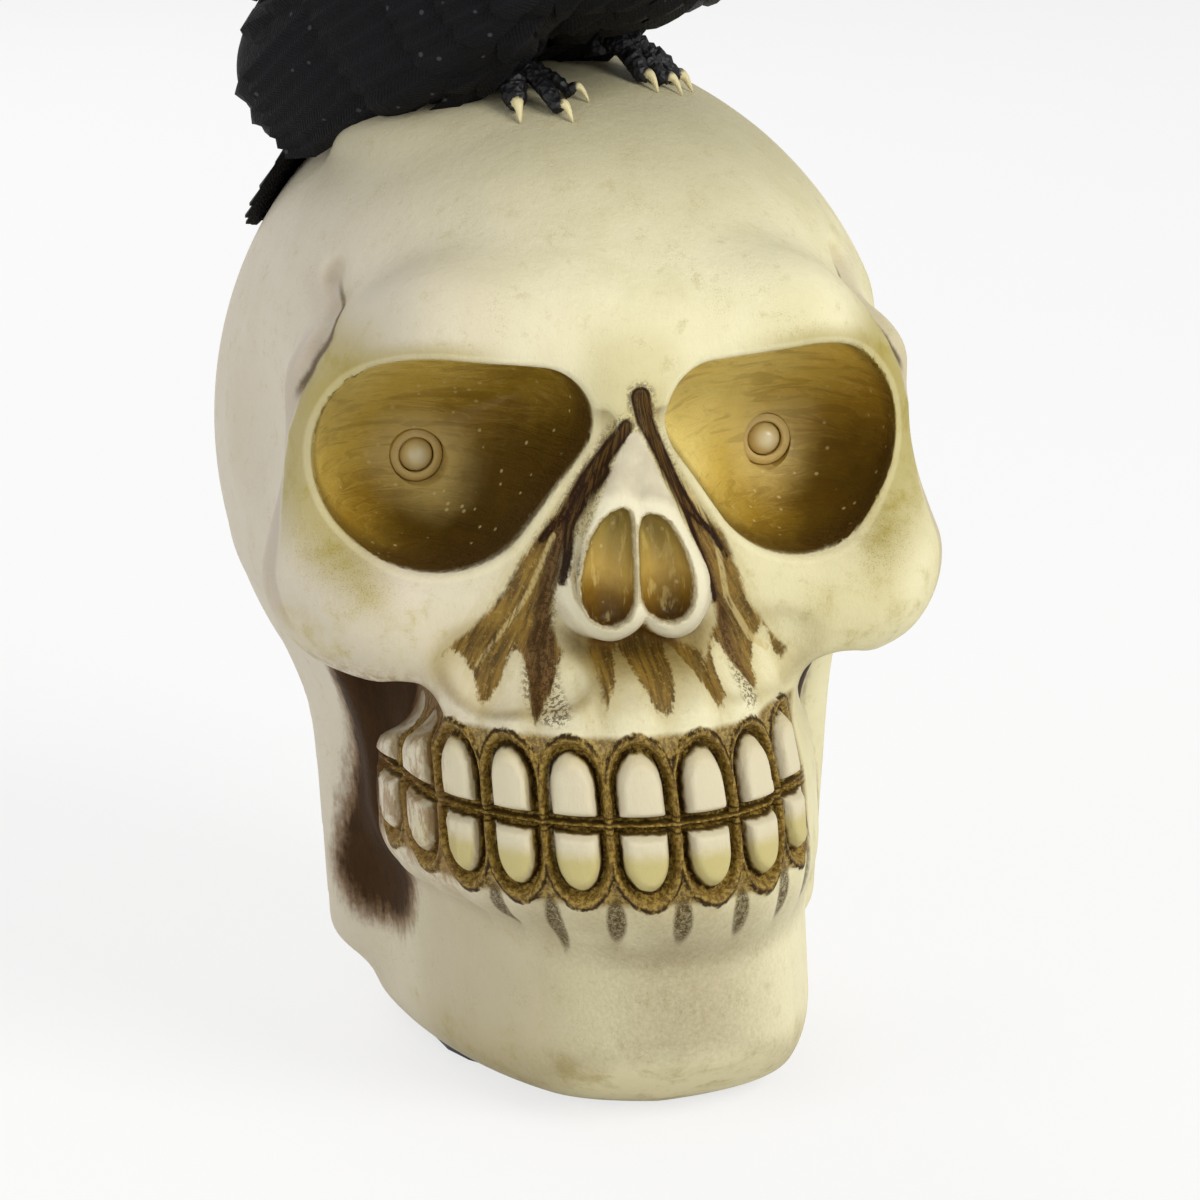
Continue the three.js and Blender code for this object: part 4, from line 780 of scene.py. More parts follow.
GROOVES = (
    (0.75, 0.35, ((-1.1, 103), (-3.9, 98.6), (-6.4, 95), (-9, 90.2), (-12.2, 86.6))),
    (0.6, 0.3, ((-4.2, 97), (-6.8, 92.8), (-8.3, 89.4), (-9.2, 84.9), (-10.4, 81))),
    (1.3, 1.0, ((0.9, 106.8), (1.5, 103.6), (3, 100.7))),
    (1.0, 0.6, ((3, 100.7), (5, 96.5), (6.5, 93.6), (8.6, 90))),
    (0.45, 0.2, ((8.6, 90), (11.6, 86.8), (13.6, 83))),
    (0.5, 0.25, ((6.5, 93.6), (8.2, 88.5), (10, 82.5), (11.4, 77))),
)
LIGHT_LINES = (
    (0.35, 0.35, ((-10.5, 87.5), (-14.4, 79.7), (-18.4, 73.9), (-22.3, 68.3))),
    (0.35, 0.5, ((6.2, 95.8), (9.7, 90.8), (12.4, 84.9), (13.2, 77.2), (16.5, 70.9), (19.1, 69))),
)
FLANK_RIGHT = ((-0.6, 104), (-4.6, 99), (-7.4, 95), (-9.9, 90.6), (-14.9, 84.3), (-18, 79.2), (-23, 74),
               (-28.1, 70.1), (-28.2, 68.1), (-24.5, 66.2), (-21, 62), (-17.4, 60), (-10.4, 62), (-10.4, 70),
               (-11.9, 74.8), (-11.6, 79), (-10.2, 84), (-7.6, 90), (-4.6, 96), (-1.2, 101.6))
FLANK_LEFT = ((0.6, 107), (2.2, 107), (3.6, 101.5), (6.2, 96), (9.2, 91.5), (13.4, 86.4), (15.2, 81), (16.4, 76.6),
              (19.2, 72), (22.2, 68.4), (18, 61.5), (8, 61.5), (7.4, 66.8), (9.4, 70.2), (11.6, 74), (11.2, 77.6),
              (9.6, 83), (7, 89), (4.4, 94.6), (1.8, 100.6))
UMBER_STROKES = (
    (1.4, 1.6, ((-5.2, 96), (-8.4, 90), (-10.6, 84), (-12.2, 78), (-13.2, 72))),
    (2.0, 2.8, ((-13.2, 73), (-14.6, 65))),
    (0.9, 0.7, ((4.2, 97), (7.6, 90.5), (10.4, 83), (12, 76.5))),
    (0.8, 1.6, ((12, 76), (13.4, 68), (14.5, 64))),
)
# Bars round which the hollow behind the cheek gets its painted shade.
RECESS_SHADES = (((35, -28, 67), (33.5, -14, 27), 8.6, 7.4), ((34, -27, 66), (29, -44, 62), 4.0, 1.0))
GOLD_LIP = ((-7.2, 72.4), (-7.4, 62), (8.6, 62), (8.6, 70.2), (7.0, 71), (3.3, 72.8), (1.2, 74.3), (-0.7, 76.2),
            (-2.1, 75.8), (-3.9, 74.2), (-5.7, 73.1))


def paint_marks(piece):
    """Fields over the surface that the paint follows, in millimetres where they are lengths."""
    points = place_points(piece)
    x, y, z = points.T.astype(float)
    side = x - lean(y, z)
    away = np.abs(side)
    far = 40 * ease(-26, -16, y)
    u = along_arc(side, y)
    marks = {
        "side": side,
        "socket": drop(away, z, *SOCKET) + 60 * ease(-18, -10, y),
        "nose": nose_outline(side, y, z),
        "rim": rim_distance(side, z) + far,
        "lamp": lamp_distance(x, z),
        "arch": u - FIRST_GAP,
        "bite": z - BITE - tooth_rise(u),
        "front": ease(-14, -30, y),
        "groove": near_strokes(side, z, GROOVES) + far,
        "ridge": near_strokes(side, z, LIGHT_LINES) + far,
        "flank": np.minimum(within(side, z, FLANK_RIGHT), within(side, z, FLANK_LEFT)) + far,
        "lip": within(side, z, GOLD_LIP) + far,
        "umber": near_strokes(side, z, UMBER_STROKES) + far,
        "temple": y - between(z, TEMPLE_LINE),
        "recess": np.minimum(*(strut(away, y, z, *shade) for shade in RECESS_SHADES)),
    }
    slope = slope_of(bone_field, points.astype(float), 0.3)
    slope /= np.maximum(np.linalg.norm(slope, axis=1), 1e-6)[:, None]
    # How concave the surface is, near and further out; the paint darkens both as painted shade.
    for name, step in (("crease", 1.2), ("hollow", 5.0)):
        ahead = points + slope * step
        marks[name] = np.clip(1 - (bone_field(*ahead.T) - bone_field(x, y, z)) / step, 0, 1)
    for name, values in marks.items():
        set_mask(piece, name, values)


def spots(paint, vector, scale, threshold, amount):
    """Scattered small round dots, for a share of the cells."""
    node = paint.cells(vector, scale)
    colour = Wire(paint, node.socket.node.outputs["Color"])
    pick = paint.add("ShaderNodeSeparateColor", None, {0: colour})
    return paint.steps(node, threshold, threshold * 0.6) * paint.steps(pick, 1 - amount, 1.001 - amount)


class BonePaint(Paint):
    """Hand-painted resin bone: cream, dry-brushed gold and umber, drawn tooth lines."""

    MARKS = ("side", "socket", "nose", "rim", "lamp", "arch", "bite", "front", "groove", "ridge", "flank", "lip",
             "umber", "recess", "crease", "hollow", "temple")

    def __init__(self):
        super().__init__("painted_bone_resin")
        self.looks = bpy.context.scene.skull_sizes
        self.mark = {name: self.mask(name) for name in self.MARKS}
        self.away = abs(self.mark["side"])
        self.place = self.places()
        self.x, _, self.z = self.parts_of(self.place)
        self.cloud = self.noise(self.place, 0.09, 4, 0.6)
        self.brush = self.noise(self.places((1, 1, 0.35)), 0.55, 4, 0.7)
        self.fine = self.noise(self.place, 1.6, 3, 0.7)
        self.grain = self.noise(self.place, 5.0, 2, 0.6)
        self.wander = (self.noise(self.place, 0.8, 2) - 0.5) * 1.3
        self.ragged = (self.fine - 0.5) * 1.4
        self.streak = self.noise(self.add("ShaderNodeCombineXYZ", None, {
            0: self.mark["side"] / (self.z * -1 + 112).at_least(6) * 34, 1: self.z * 0.14}), 1.1, 5, 0.72, 0.5)
        self.reach = self.mark["arch"] / PITCH
        self.phase = self.reach - self.reach.floor()
        broad = self.noise(self.place, 0.028, 3)
        self.colour = self.mix(self.steps(broad, 0.38, 0.62), rgb("d8d0a6"), tuple(self.looks.bone))

    def coat(self, share, colour):
        """One more coat over the colours so far, on a share of the surface."""
        self.colour = self.mix(share, self.colour, colour)

    def bone(self):
        """The cream, olive at the orbits, with painted shade: greyer to the head's right (partly the paint's tint) and
        under the crow, darker in hollows, in creases and at the temple; the chin's front painted lighter, its right
        side darker.
        """
        mark, steps, ragged, z, away = self.mark, self.steps, self.ragged, self.z, self.away
        stain = steps(self.noise(self.place, 0.16, 5, 0.65), 0.46, 0.7)
        blotch = steps(self.noise(self.place, 0.32, 4, 0.7), 0.56, 0.72)
        self.coat(steps(self.cloud, 0.45, 0.75) * 0.5, rgb("cdc598"))
        # Greyer and pinker to the head's right: partly painted shade on the side away from the light, partly the
        # paint's own tint.
        self.coat(steps(self.x, 2, -42) * 0.75, rgb("c8beb2"))
        # Greyer over the crown: painted shade under the crow.
        self.coat(steps(z, 118, 142) * 0.75, rgb("ada688"))
        # The chin's front is painted lighter and its right side darker: painted light and painted shade.
        chin = steps(z, 39, 31) * mark["front"]
        self.coat(chin * steps(abs(mark["side"] - 5), 22, 12) * 0.9, rgb("e9e2bd"))
        self.coat(chin * steps(mark["side"], -9, -22) * 0.55, rgb("a6997c"))
        cheek = steps(mark["socket"], 11, 2) * steps(away, 30, 39) * steps(z, 122, 112)
        cheek = cheek * steps(mark["temple"] + ragged * 0.4, 0.2, -0.5)
        self.coat(cheek * (0.72 + stain * 0.3), rgb("9f9045"))
        above = steps(mark["socket"] + ragged * 0.8, 3.6, 0.8) * steps(away, 14, 26) * steps(z, 100, 106)
        self.coat(above * 0.6, rgb("a3934e"))
        self.coat(cheek * steps(self.grain, 0.56, 0.64) * steps(z, 92, 80) * 0.6, rgb("77682e"))
        behind = steps(mark["temple"], -0.3, 0.5) * steps(mark["temple"], 12, 1) * steps(away, 33, 37)
        self.coat(behind * steps(abs(z - 96), 26, 20) * 0.45, rgb("ab9c8e"))
        # A dark brown line along the temple's fold: painted shade in it.
        temple_shadow = steps(abs(mark["temple"] - 0.6) + ragged * 0.5, 1.3, 0.3) * steps(abs(z - 111.5), 8, 5)
        self.coat(temple_shadow * steps(away, 34, 36.5) * 0.85, rgb("46331a"))
        below = steps(abs(z - 72), 8, 3) * mark["front"] * steps(away, 22, 28)
        self.coat(below * (0.2 + stain * 0.6) * 0.6, rgb("b5a868"))
        low = steps(z, 15, 6) * mark["front"]
        self.coat(low * (0.35 + stain * 0.6) * 0.75, rgb("a8975a"))
        root_of_nose = steps(away, 9, 3) * steps(abs(z - 109), 9, 3) * mark["front"]
        self.coat(root_of_nose * 0.32, rgb("b5a869"))
        self.coat(blotch * 0.3, rgb("b3a672"))
        self.coat(steps(self.grain, 0.56, 0.66) * stain * 0.4, rgb("8a7a48"))
        # Painted shade in the hollows and creases, kept off the chin.
        self.coat(steps(mark["hollow"], 0.12, 0.75) * (1 - chin) * 0.6, rgb("968250"))
        self.coat(steps(mark["crease"] + ragged * 0.12, 0.2, 0.7) * 0.8, rgb("634c22"))

    def flanks(self):
        """Gold and umber beside the nose and over the roots of the teeth, and the nose's rim; returns the gold."""
        mark, steps, ragged, fine, streak = self.mark, self.steps, self.ragged, self.fine, self.streak
        root = steps(abs(self.phase - 0.5), 0.5, 0.0)
        spikes = (mark["bite"] * -1 + 15.0 + root * 7.5) * 0.7
        loose = (streak - 0.5) * 3.0 + self.wander * 0.8 + ragged * 1.0
        halo = mark["flank"].at_most(mark["lip"]).at_least(spikes * 0.6) + loose
        self.coat(steps(halo, 3.0, -1.0) * 0.45, rgb("ab9854"))
        gold = steps((mark["flank"] + loose * 0.4).at_least(spikes + loose), 0.4, -0.5)
        ochre = self.blend(streak, 0.36, 0.64, "4c340c", "8a6a26")
        ochre = self.mix(steps(fine, 0.55, 0.68) * 0.5, ochre, rgb("a98f4c"))
        ochre = self.mix(steps(self.grain, 0.6, 0.5) * steps(self.cloud, 0.4, 0.6) * 0.35, ochre, rgb("33210a"))
        self.coat(gold * 0.94, ochre)
        umber = steps(mark["umber"] + loose * 0.8, 1.0, -1.0) * gold
        self.coat(umber * 0.85, self.blend(streak, 0.32, 0.66, "3d290e", "6f5333"))
        lip = steps((mark["lip"] + loose * 0.5).at_least(spikes + loose), 0.4, -0.5)
        self.coat(lip * 0.92, self.mix(steps(mark["rim"], 2.2, 0.2), ochre, rgb("64400f")))
        dusting = mark["groove"].at_most(mark["umber"] + 1) + ragged * 1.5
        self.coat(steps(dusting, 1.6, 0.2) * steps(fine, 0.48, 0.56) * 0.75, rgb("3a250a"))
        cone = self.blend(self.cloud, 0.4, 0.65, "bbb198", "d2c9ae")
        cone = self.mix(steps(mark["nose"] + ragged * 0.5, 2.8, 1.2), cone, rgb("e0d9bc"))
        cone = self.mix(steps(abs(mark["nose"] - 0.1) + ragged * 0.35, 0.4, 0.0) * 0.6, cone, rgb("94814a"))
        self.coat(steps(mark["rim"] + ragged * 0.25, 0.15, -0.4) * 0.95, cone)
        ridge = steps(mark["ridge"] + ragged * 0.25, 0.15, -0.15) * steps(streak, 0.35, 0.5)
        self.coat(ridge * 0.7, rgb("c4b078"))
        lines = steps(mark["groove"] + ragged * 0.8, 0.45, -0.2)
        self.coat(lines * 0.95, self.blend(streak, 0.46, 0.56, "281603", "533a14"))
        strokes = steps(abs(mark["groove"] + 0.1) + ragged * 0.25, 0.3, 0.08) * steps(self.brush, 0.36, 0.46)
        self.coat(strokes * 0.9, rgb("241002"))
        return gold

    def tooth_ring(self, shift):
        """Distance to the outline of the tooth round each place, its middle moved sideways."""
        bite = self.mark["bite"]
        upper = (bite - TOOTH_TOP[0]).at_least(0) / TOOTH_TOP[1]
        lower = (bite * -1 - TOOTH_FOOT[0]).at_least(0) / TOOTH_FOOT[1]
        tall = upper * upper + lower * lower
        wide = ((self.phase - 0.5) * PITCH + shift) / TOOTH_HALF
        ring = ((wide * wide + tall) ** 0.5 - 1) * TOOTH_HALF
        return ring.at_least(abs(bite) * -1 + TOOTH_PARTING) + self.wander * 0.42

    def teeth(self):
        """Drawn outlines of the teeth, their bite line and the strokes below the gaps between them."""
        mark, steps, ragged, fine = self.mark, self.steps, self.ragged, self.fine
        arch, bite = mark["arch"], mark["bite"]
        row = steps(arch, 29, 26.5) * steps(arch, -60, -52) * mark["front"]
        ring = self.tooth_ring(0)
        gums = steps(abs(bite - 0.4), 12.6, 11.4)
        gilt = self.blend(fine, 0.4, 0.62, "64491a", "9c823c")
        self.coat(steps(ring, 0.7, 1.4) * gums * row * 0.9, gilt)
        face = steps(self.tooth_ring(steps(arch, -8, -16) * 0.55), -0.3, -0.75)
        ivory = self.blend(bite + self.wander, -2.8, -5.4, "d3c9ac", "bfb276")
        ivory = self.mix(steps(bite + self.wander, 6.5, 10.5) * 0.5, ivory, rgb("c3b585"))
        band = steps(abs(ring - 0.45) + (self.cloud - 0.5) * 1.2, 1.15, 0.8) * steps(abs(bite), 14.5, 13.5)
        self.coat(band * row * 0.95, gilt)
        self.coat(face * row * steps(arch, -44, -34) * 0.9, ivory)
        edges = steps(abs(abs(ring - 0.5) - 0.75) + ragged * 0.35, 0.38, 0.06) * steps(ring, 1.7, 1.4)
        self.coat(edges * steps(self.brush, 0.38, 0.5) * row * 0.95, rgb("2c1d08"))
        level = abs(bite + self.wander * 0.4)
        seam = steps(level, 1.5, 1.1) * row
        self.coat(seam * 0.9, gilt)
        self.coat(steps(abs(abs(level - 0.75) - 0.4), 0.26, 0.08) * seam * 0.85, rgb("33240c"))
        near_gap = (self.reach - (self.reach + 0.5).floor()) * (PITCH / 1.5)
        long_mark = steps(abs(arch + PITCH * 2), 2.5, 2.0) * 3.2
        depth = (bite + 14.4 + long_mark * 0.5) / (long_mark * 0.5 + 4.3)
        below = steps((near_gap * near_gap + depth * depth) ** 0.5 + ragged * 0.5, 1.1, 0.7)
        below = below * steps(arch, 30, 26) * steps(arch, -36, -30) * mark["front"]
        self.coat(below * (0.5 + steps(fine, 0.4, 0.6) * 0.45), rgb("574620"))
        self.coat(below * steps(self.grain, 0.5, 0.58) * 0.7, rgb("2f210c"))

    def recess(self):
        """Painted shade in the hollow behind the cheek, and the wash beside the last teeth."""
        mark, steps, brush = self.mark, self.steps, self.brush
        deep = mark["recess"] + self.wander * 1.2 + (brush - 0.5) * 5
        wash = steps(mark["arch"], -30, -38) * mark["front"] * steps(abs(mark["bite"] - 2), 19, 13)
        self.coat(wash * steps(brush, 0.42, 0.6) * 0.7, rgb("8a6c42"))
        # Painted shade: the hollow behind the cheek, darkest in its middle.
        self.coat(steps(deep, 4.4, 0.8) * (0.6 + brush * 0.5).at_most(1), rgb("64431d"))
        self.coat(steps(deep, 1.9, -0.4), self.mix(brush, rgb("261503"), rgb("452d0e")))

    def sockets(self):
        """Lacquered bowls with a painted glow round the lamps, darkening downwards and towards the skull's left as
        painted shade over a wash pooled low; returns their share and swirls.
        """
        mark, steps, cloud = self.mark, self.steps, self.cloud
        inside = steps(mark["socket"] + self.ragged * 0.08, 0.12, -0.12)
        # The bowl darkens downwards and towards the skull's left in both sockets: painted shade, over a darker wash
        # pooled low.
        middle = steps(mark["side"], -0.01, 0.01, -SOCKET_MIDDLE[0], SOCKET_MIDDLE[0])
        shade = (mark["side"] - middle) * 0.021 - (self.z - SOCKET_MIDDLE[1]) * 0.026 + 0.4
        shade = shade - steps(mark["side"], -1, 1) * 0.1 + (cloud - 0.5) * 0.3 + (self.brush - 0.5) * 0.06
        bowl = self.add("ShaderNodeValToRGB", {"stops": (
            (0.0, rgb("ecd680")), (0.2, rgb("d3b556")), (0.45, rgb("9c7c28")), (0.7, rgb("56400f")),
            (1.0, rgb("2f1e06")))}, {0: shade})
        # A painted glow: the lacquer lightened round each lamp as if lit by it.
        bowl = self.mix(steps(mark["lamp"] + (cloud - 0.5) * 4, 9.5, 2.4) * 0.7, bowl, tuple(self.looks.glow))
        swirl = self.noise(self.places((0.22, 0.22, 1.3), (0, math.radians(16), 0)), 0.5, 4, 0.55, 1.2)
        # Thin pale curls where the bowl is lightest: painted highlights on ripples in the lacquer.
        curl = steps(abs(swirl - 0.5), 0.02, 0.0) * steps(shade, 0.75, 0.3)
        bowl = self.mix(curl * 0.3, bowl, rgb("d9c077"))
        bowl = self.mix(steps(swirl, 0.5, 0.62) * 0.22, bowl, rgb("5a3c12"))
        bowl = self.mix(self.dots * 0.5, bowl, rgb("d6c48a"))
        bowl = self.mix(steps(mark["socket"], -1.5, -0.1) * 0.65, bowl, rgb("3a260e"))
        self.coat(inside, bowl)
        return inside, swirl

    def nose(self):
        """The lobes of the nose opening, dark at their floors, with pale drips; returns their share."""
        mark, steps = self.mark, self.steps
        lobe = steps(mark["nose"] + self.ragged * 0.15, 0.1, -0.25)
        flesh = self.add("ShaderNodeValToRGB", {"stops": (
            (0.0, rgb("3a2208")), (0.3, rgb("80601f")), (0.6, rgb("b2944a")), (1.0, rgb("9c8746")))},
            {0: steps(self.z + self.wander + (self.cloud - 0.5) * 6, 75, 90)})
        drips = self.noise(self.places((1, 1, 0.3)), 0.8, 3, 0.6)
        flesh = self.mix(steps(drips, 0.54, 0.68) * 0.5, flesh, rgb("cbb36c"))
        flesh = self.mix(steps(mark["nose"], -1.1, 0.0) * 0.5, flesh, rgb("4a3312"))
        self.coat(lobe, self.mix(self.dots * 0.4, flesh, rgb("d8c48c")))
        return lobe

    def finish(self):
        """Lays all coats and returns the material."""
        self.bone()
        gold = self.flanks()
        self.teeth()
        self.recess()
        self.dots = spots(self, self.place, 0.6, 0.22, 0.3)
        inside, swirl = self.sockets()
        lobe = self.nose()
        border = self.mark["socket"]
        # A thin pale line just outside each socket's rim: painted highlight along it.
        edge = self.steps(abs(border - 0.6) + self.ragged * 0.2, 0.7, 0.2) * self.steps(border, 0, 0.15)
        self.coat(edge * 0.25, rgb("ece4bd"))
        varnish = (inside + lobe).at_most(1)
        rough = 0.52 + (self.cloud - 0.5) * 0.16 - varnish * 0.2 + gold * 0.05
        relief = self.bump(self.grain * 0.35 + self.fine * 0.65, 0.35, 0.00025)
        relief = self.bump(self.brush * 0.6 + self.cloud, 0.3, 0.0012, relief)
        relief = self.bump(swirl * inside, 0.4, 0.0015, relief)
        return self.surface(Base_Color=self.colour, Roughness=rough, Normal=relief, Specular_IOR_Level=0.1,
                            Coat_Weight=varnish * 0.18, Coat_Roughness=0.32)


class SKULLLIGHT_OT_skull(bpy.types.Operator):
    """Model the hollow skull casting with its sockets, teeth and bores, and paint it"""
    bl_idname = "skulllight.skull"
    bl_label = "Skull casting"

    def execute(self, context):
        step = context.scene.skull_sizes.detail / MM
        casting = new_piece("skull_casting", *field_mesh(skull_field, CASTING_GRID, step))
        take_away(casting, new_piece("room", *field_mesh(hollow_field, ROOM_GRID, ROOM_STEP, 0.8, 1)))
        for tool in seat_tools():
            take_away(casting, tool)
        if not len(casting.data.polygons):
            self.report({"ERROR"}, "The casting came out empty")
            return {"CANCELLED"}
        paint_marks(casting)
        smooth(casting, 60)
        hand_over(casting, "bone_resin", BonePaint().finish(), "root", "skull_shell")
        return {"FINISHED"}


# Crow: places are forward, to its left and up from its feet, in millimetres

CROW_BODY = (
    ((-6, 0, 18.8), (35, 19, 17.5), 0.36, 1),
    ((14.5, 0, 27.8), (19.5, 17.5, 19.5), 0.75, 6),
    ((19, 0, 35.5), (20, 15.8, 17.2), 0.85, 5),
    ((23, 0, 43), (17, 14.5, 15), 0.9, 5),
    ((27.5, 0, 48.5), (16.5, 13.2, 14), 0.8, 5),
    ((32, 0, 54.5), (15.5, 12.5, 13), 0.1, 5),
    ((-26, 0, 9), (17, 12, 9), 0.62, 6),
)
CROW_WING = ((-15, 14, 9.5), (33.2, 8.8, 15.7), 0.48)
COVERTS = ((0.48, 13, 6.0, 2.0), (0.62, 10, 5.0, 2.6), (0.76, 8, 4.2, 3.0))
CROW_THIGH = ((-3.5, 9.0, 10.5), (5.5, 5.0, 8.5), 0)
CROW_GAP = (((-2.5, 5, 1.0), (9.7, -14.5, 6.6), 2.3, 3.0), ((3, 7, 1.0), (15, -12, 6.6), 2.6, 3.4))
CROW_SEAT = 0.5
CROW_GRID = ((-52, (52, 1)), (-28, (28, 1)), (-16, (72, 1)))
FEATHER_STEP = 2.4
EYE_PLACE = (36.8, 10.5, 57.4)
EYE_RADIUS = 2.3
BEAK = (("upper", (42, 0, 56.2), 5.5, 4.7, 21), ("lower", (42, 0, 52.4), 1.6, 3.0, 18.5))
BEAK_NARROW = 0.74


def crow_frame(points):
    """Places in the frame turned into forward, left and up from the crow's feet."""
    x, y = points[..., 0] - CROW_FOOT[0], points[..., 1] - CROW_FOOT[1]
    return np.stack([x * CROW_WAY[0] + y * CROW_WAY[1], y * CROW_WAY[0] - x * CROW_WAY[1],
                     points[..., 2] - CROW_CROWN], -1)


def crow_place(points):
    """Forward, left and up from the crow's feet turned into places in the frame."""
    points = np.asarray(points, float)
    a, b = points[..., 0], points[..., 1]
    return np.stack([CROW_FOOT[0] + a * CROW_WAY[0] - b * CROW_WAY[1],
                     CROW_FOOT[1] + a * CROW_WAY[1] + b * CROW_WAY[0], CROW_CROWN + points[..., 2]], -1)


def tipped_egg(x, y, z, centre, half, pitch):
    """An egg whose front is raised by an angle."""
    x, z = x - centre[0], z - centre[2]
    along = x * math.cos(pitch) + z * math.sin(pitch)
    over = z * math.cos(pitch) - x * math.sin(pitch)
    return egg(along, y - centre[1], over, (0, 0, 0), half)


def crow_field(x, y, z):
    """The bird's body without feathers, in its own directions."""
    d = None
    for centre, half, pitch, blend in CROW_BODY:
        part = tipped_egg(x, y, z, centre, half, pitch)
        d = part if d is None else soft_min(d, part, blend)
    d = soft_min(d, tipped_egg(x, np.abs(y), z, *CROW_WING), 3)
    for gap in CROW_GAP:
        d = soft_max(d, -strut(x, y, z, *gap), 1.0)
    return soft_min(d, tipped_egg(x, np.abs(y), z, *CROW_THIGH), 4)


def seated(x, y, z):
    """The body with its underside fitted to the crown."""
    place = crow_place(np.stack(np.broadcast_arrays(x, y, z), -1))
    return np.maximum(crow_field(x, y, z), CROW_SEAT - bone_field(place[..., 0], place[..., 1], place[..., 2]))


def flow_of(points):
    """The way the feathers lie, from the head to the tail."""
    low = ease(38, 22, points[:, 2])
    high = ease(46, 54, points[:, 2])
    pitch = 0.9 + (0.4 - 0.9) * low + (0.1 - 0.9) * high
    return np.stack([-np.cos(pitch), 0 * pitch, -np.sin(pitch)], 1)


def feather_mesh(name, roots, ways, lengths, widths, field, lift, stations=6, curl=0.0):
    """Closed leaf shapes that lie along a field's surface, from each root along its way."""
    share = np.linspace(0, 1, stations)
    girth = np.interp(share, (0, 0.2, 0.5, 0.8, 0.93, 1), (0.35, 0.8, 1, 0.94, 0.76, 0.3))
    normal = slope_of(field, roots)
    normal /= np.linalg.norm(normal, axis=1)[:, None]
    way = ways - normal * (ways * normal).sum(1)[:, None]
    way /= np.linalg.norm(way, axis=1)[:, None]
    beside = np.cross(normal, way)
    count = len(roots)
    rows = []
    for s, g in zip(share, girth):
        for across, rise in ((-1, 0.0), (0, 0.22), (1, 0.0), (0, -0.1)):
            point = (roots + way * (s * lengths)[:, None] + beside * (across * g * widths / 2)[:, None]
                     + beside * (curl * s * s * lengths)[:, None])
            for _ in range(2):
                slope = slope_of(field, point)
                size = np.maximum((slope ** 2).sum(1), 0.1)
                move = -slope * (field(*point.T) / size)[:, None]
                far = np.linalg.norm(move, axis=1)
                point = point + move * np.minimum(1, 1.5 / np.maximum(far, 1e-9))[:, None]
            slope = slope_of(field, point)
            slope /= np.linalg.norm(slope, axis=1)[:, None]
            height = -0.5 + (lift + 0.5) * s + rise * widths * (0.35 + 0.65 * g) * 0.8
            rows.append(point + slope * height[:, None])
    points = np.stack(rows, 1)
    faces = []
    for k in range(stations - 1):
        a, b = 4 * k, 4 * k + 4
        for i, j in ((0, 1), (1, 2), (2, 3), (3, 0)):
            faces.append((a + i, b + i, b + j, a + j))
    end = 4 * (stations - 1)
    faces += [(0, 1, 2, 3), (end + 3, end + 2, end + 1, end)]
    faces = np.array(faces)
    every = (faces[None] + np.arange(count)[:, None, None] * 4 * stations).reshape(-1, 4)
    piece = new_piece(name, crow_place(points.reshape(-1, 3)), every.tolist())
    set_mask(piece, "vein", np.tile(np.repeat(share, 4), count) * np.repeat(lengths, 4 * stations))
    set_mask(piece, "vane", np.tile([-1.0, 0.0, 1.0, 0.0], count * stations) * np.repeat(widths, 4 * stations) / 2)
    edit_all(piece, normals_make_consistent={"inside": False})
    return piece


def scatter(points, spacing, seed):
    """A share of some points that are at least a spacing apart, in a fixed order."""
    order = np.random.default_rng(seed).permutation(len(points))
    cell = {}
    kept = []
    for i in order:
        p = points[i]
        gap = spacing[i]
        key = tuple(int(v // 6) for v in p)
        near = [q for a in (-1, 0, 1) for b in (-1, 0, 1) for c in (-1, 0, 1)
                for q in cell.get((key[0] + a, key[1] + b, key[2] + c), ())]
        if all((p[0] - q[0]) ** 2 + (p[1] - q[1]) ** 2 + (p[2] - q[2]) ** 2 > gap * gap for q in near):
            kept.append(i)
            cell.setdefault(key, []).append(p)
    return np.array(kept)


def body_feathers(points):
    """Contour feathers over the body, head and the fronts of the wings."""
    clear = np.array([bone_field(*crow_place(p)) for p in points])
    face = np.hypot(points[:, 0] - 46, points[:, 1]) < 9
    points = points[(clear > 2.2) & ~face & (points[:, 0] > -33)]
    head = ease(46, 54, points[:, 2])
    spacing = 3.7 - 1.9 * head
    kept = scatter(points, spacing, 4)
    roots, head = points[kept], head[kept]
    rng = np.random.default_rng(9)
    length = (10.5 - 6.0 * head) * rng.uniform(0.88, 1.12, len(roots))
    width = (5.8 - 3.1 * head) * rng.uniform(0.9, 1.1, len(roots))
    ways = flow_of(roots) + rng.normal(0, 0.09, (len(roots), 3))
    return feather_mesh("crow_plumage", roots, ways, length, width, crow_field, 0.9)


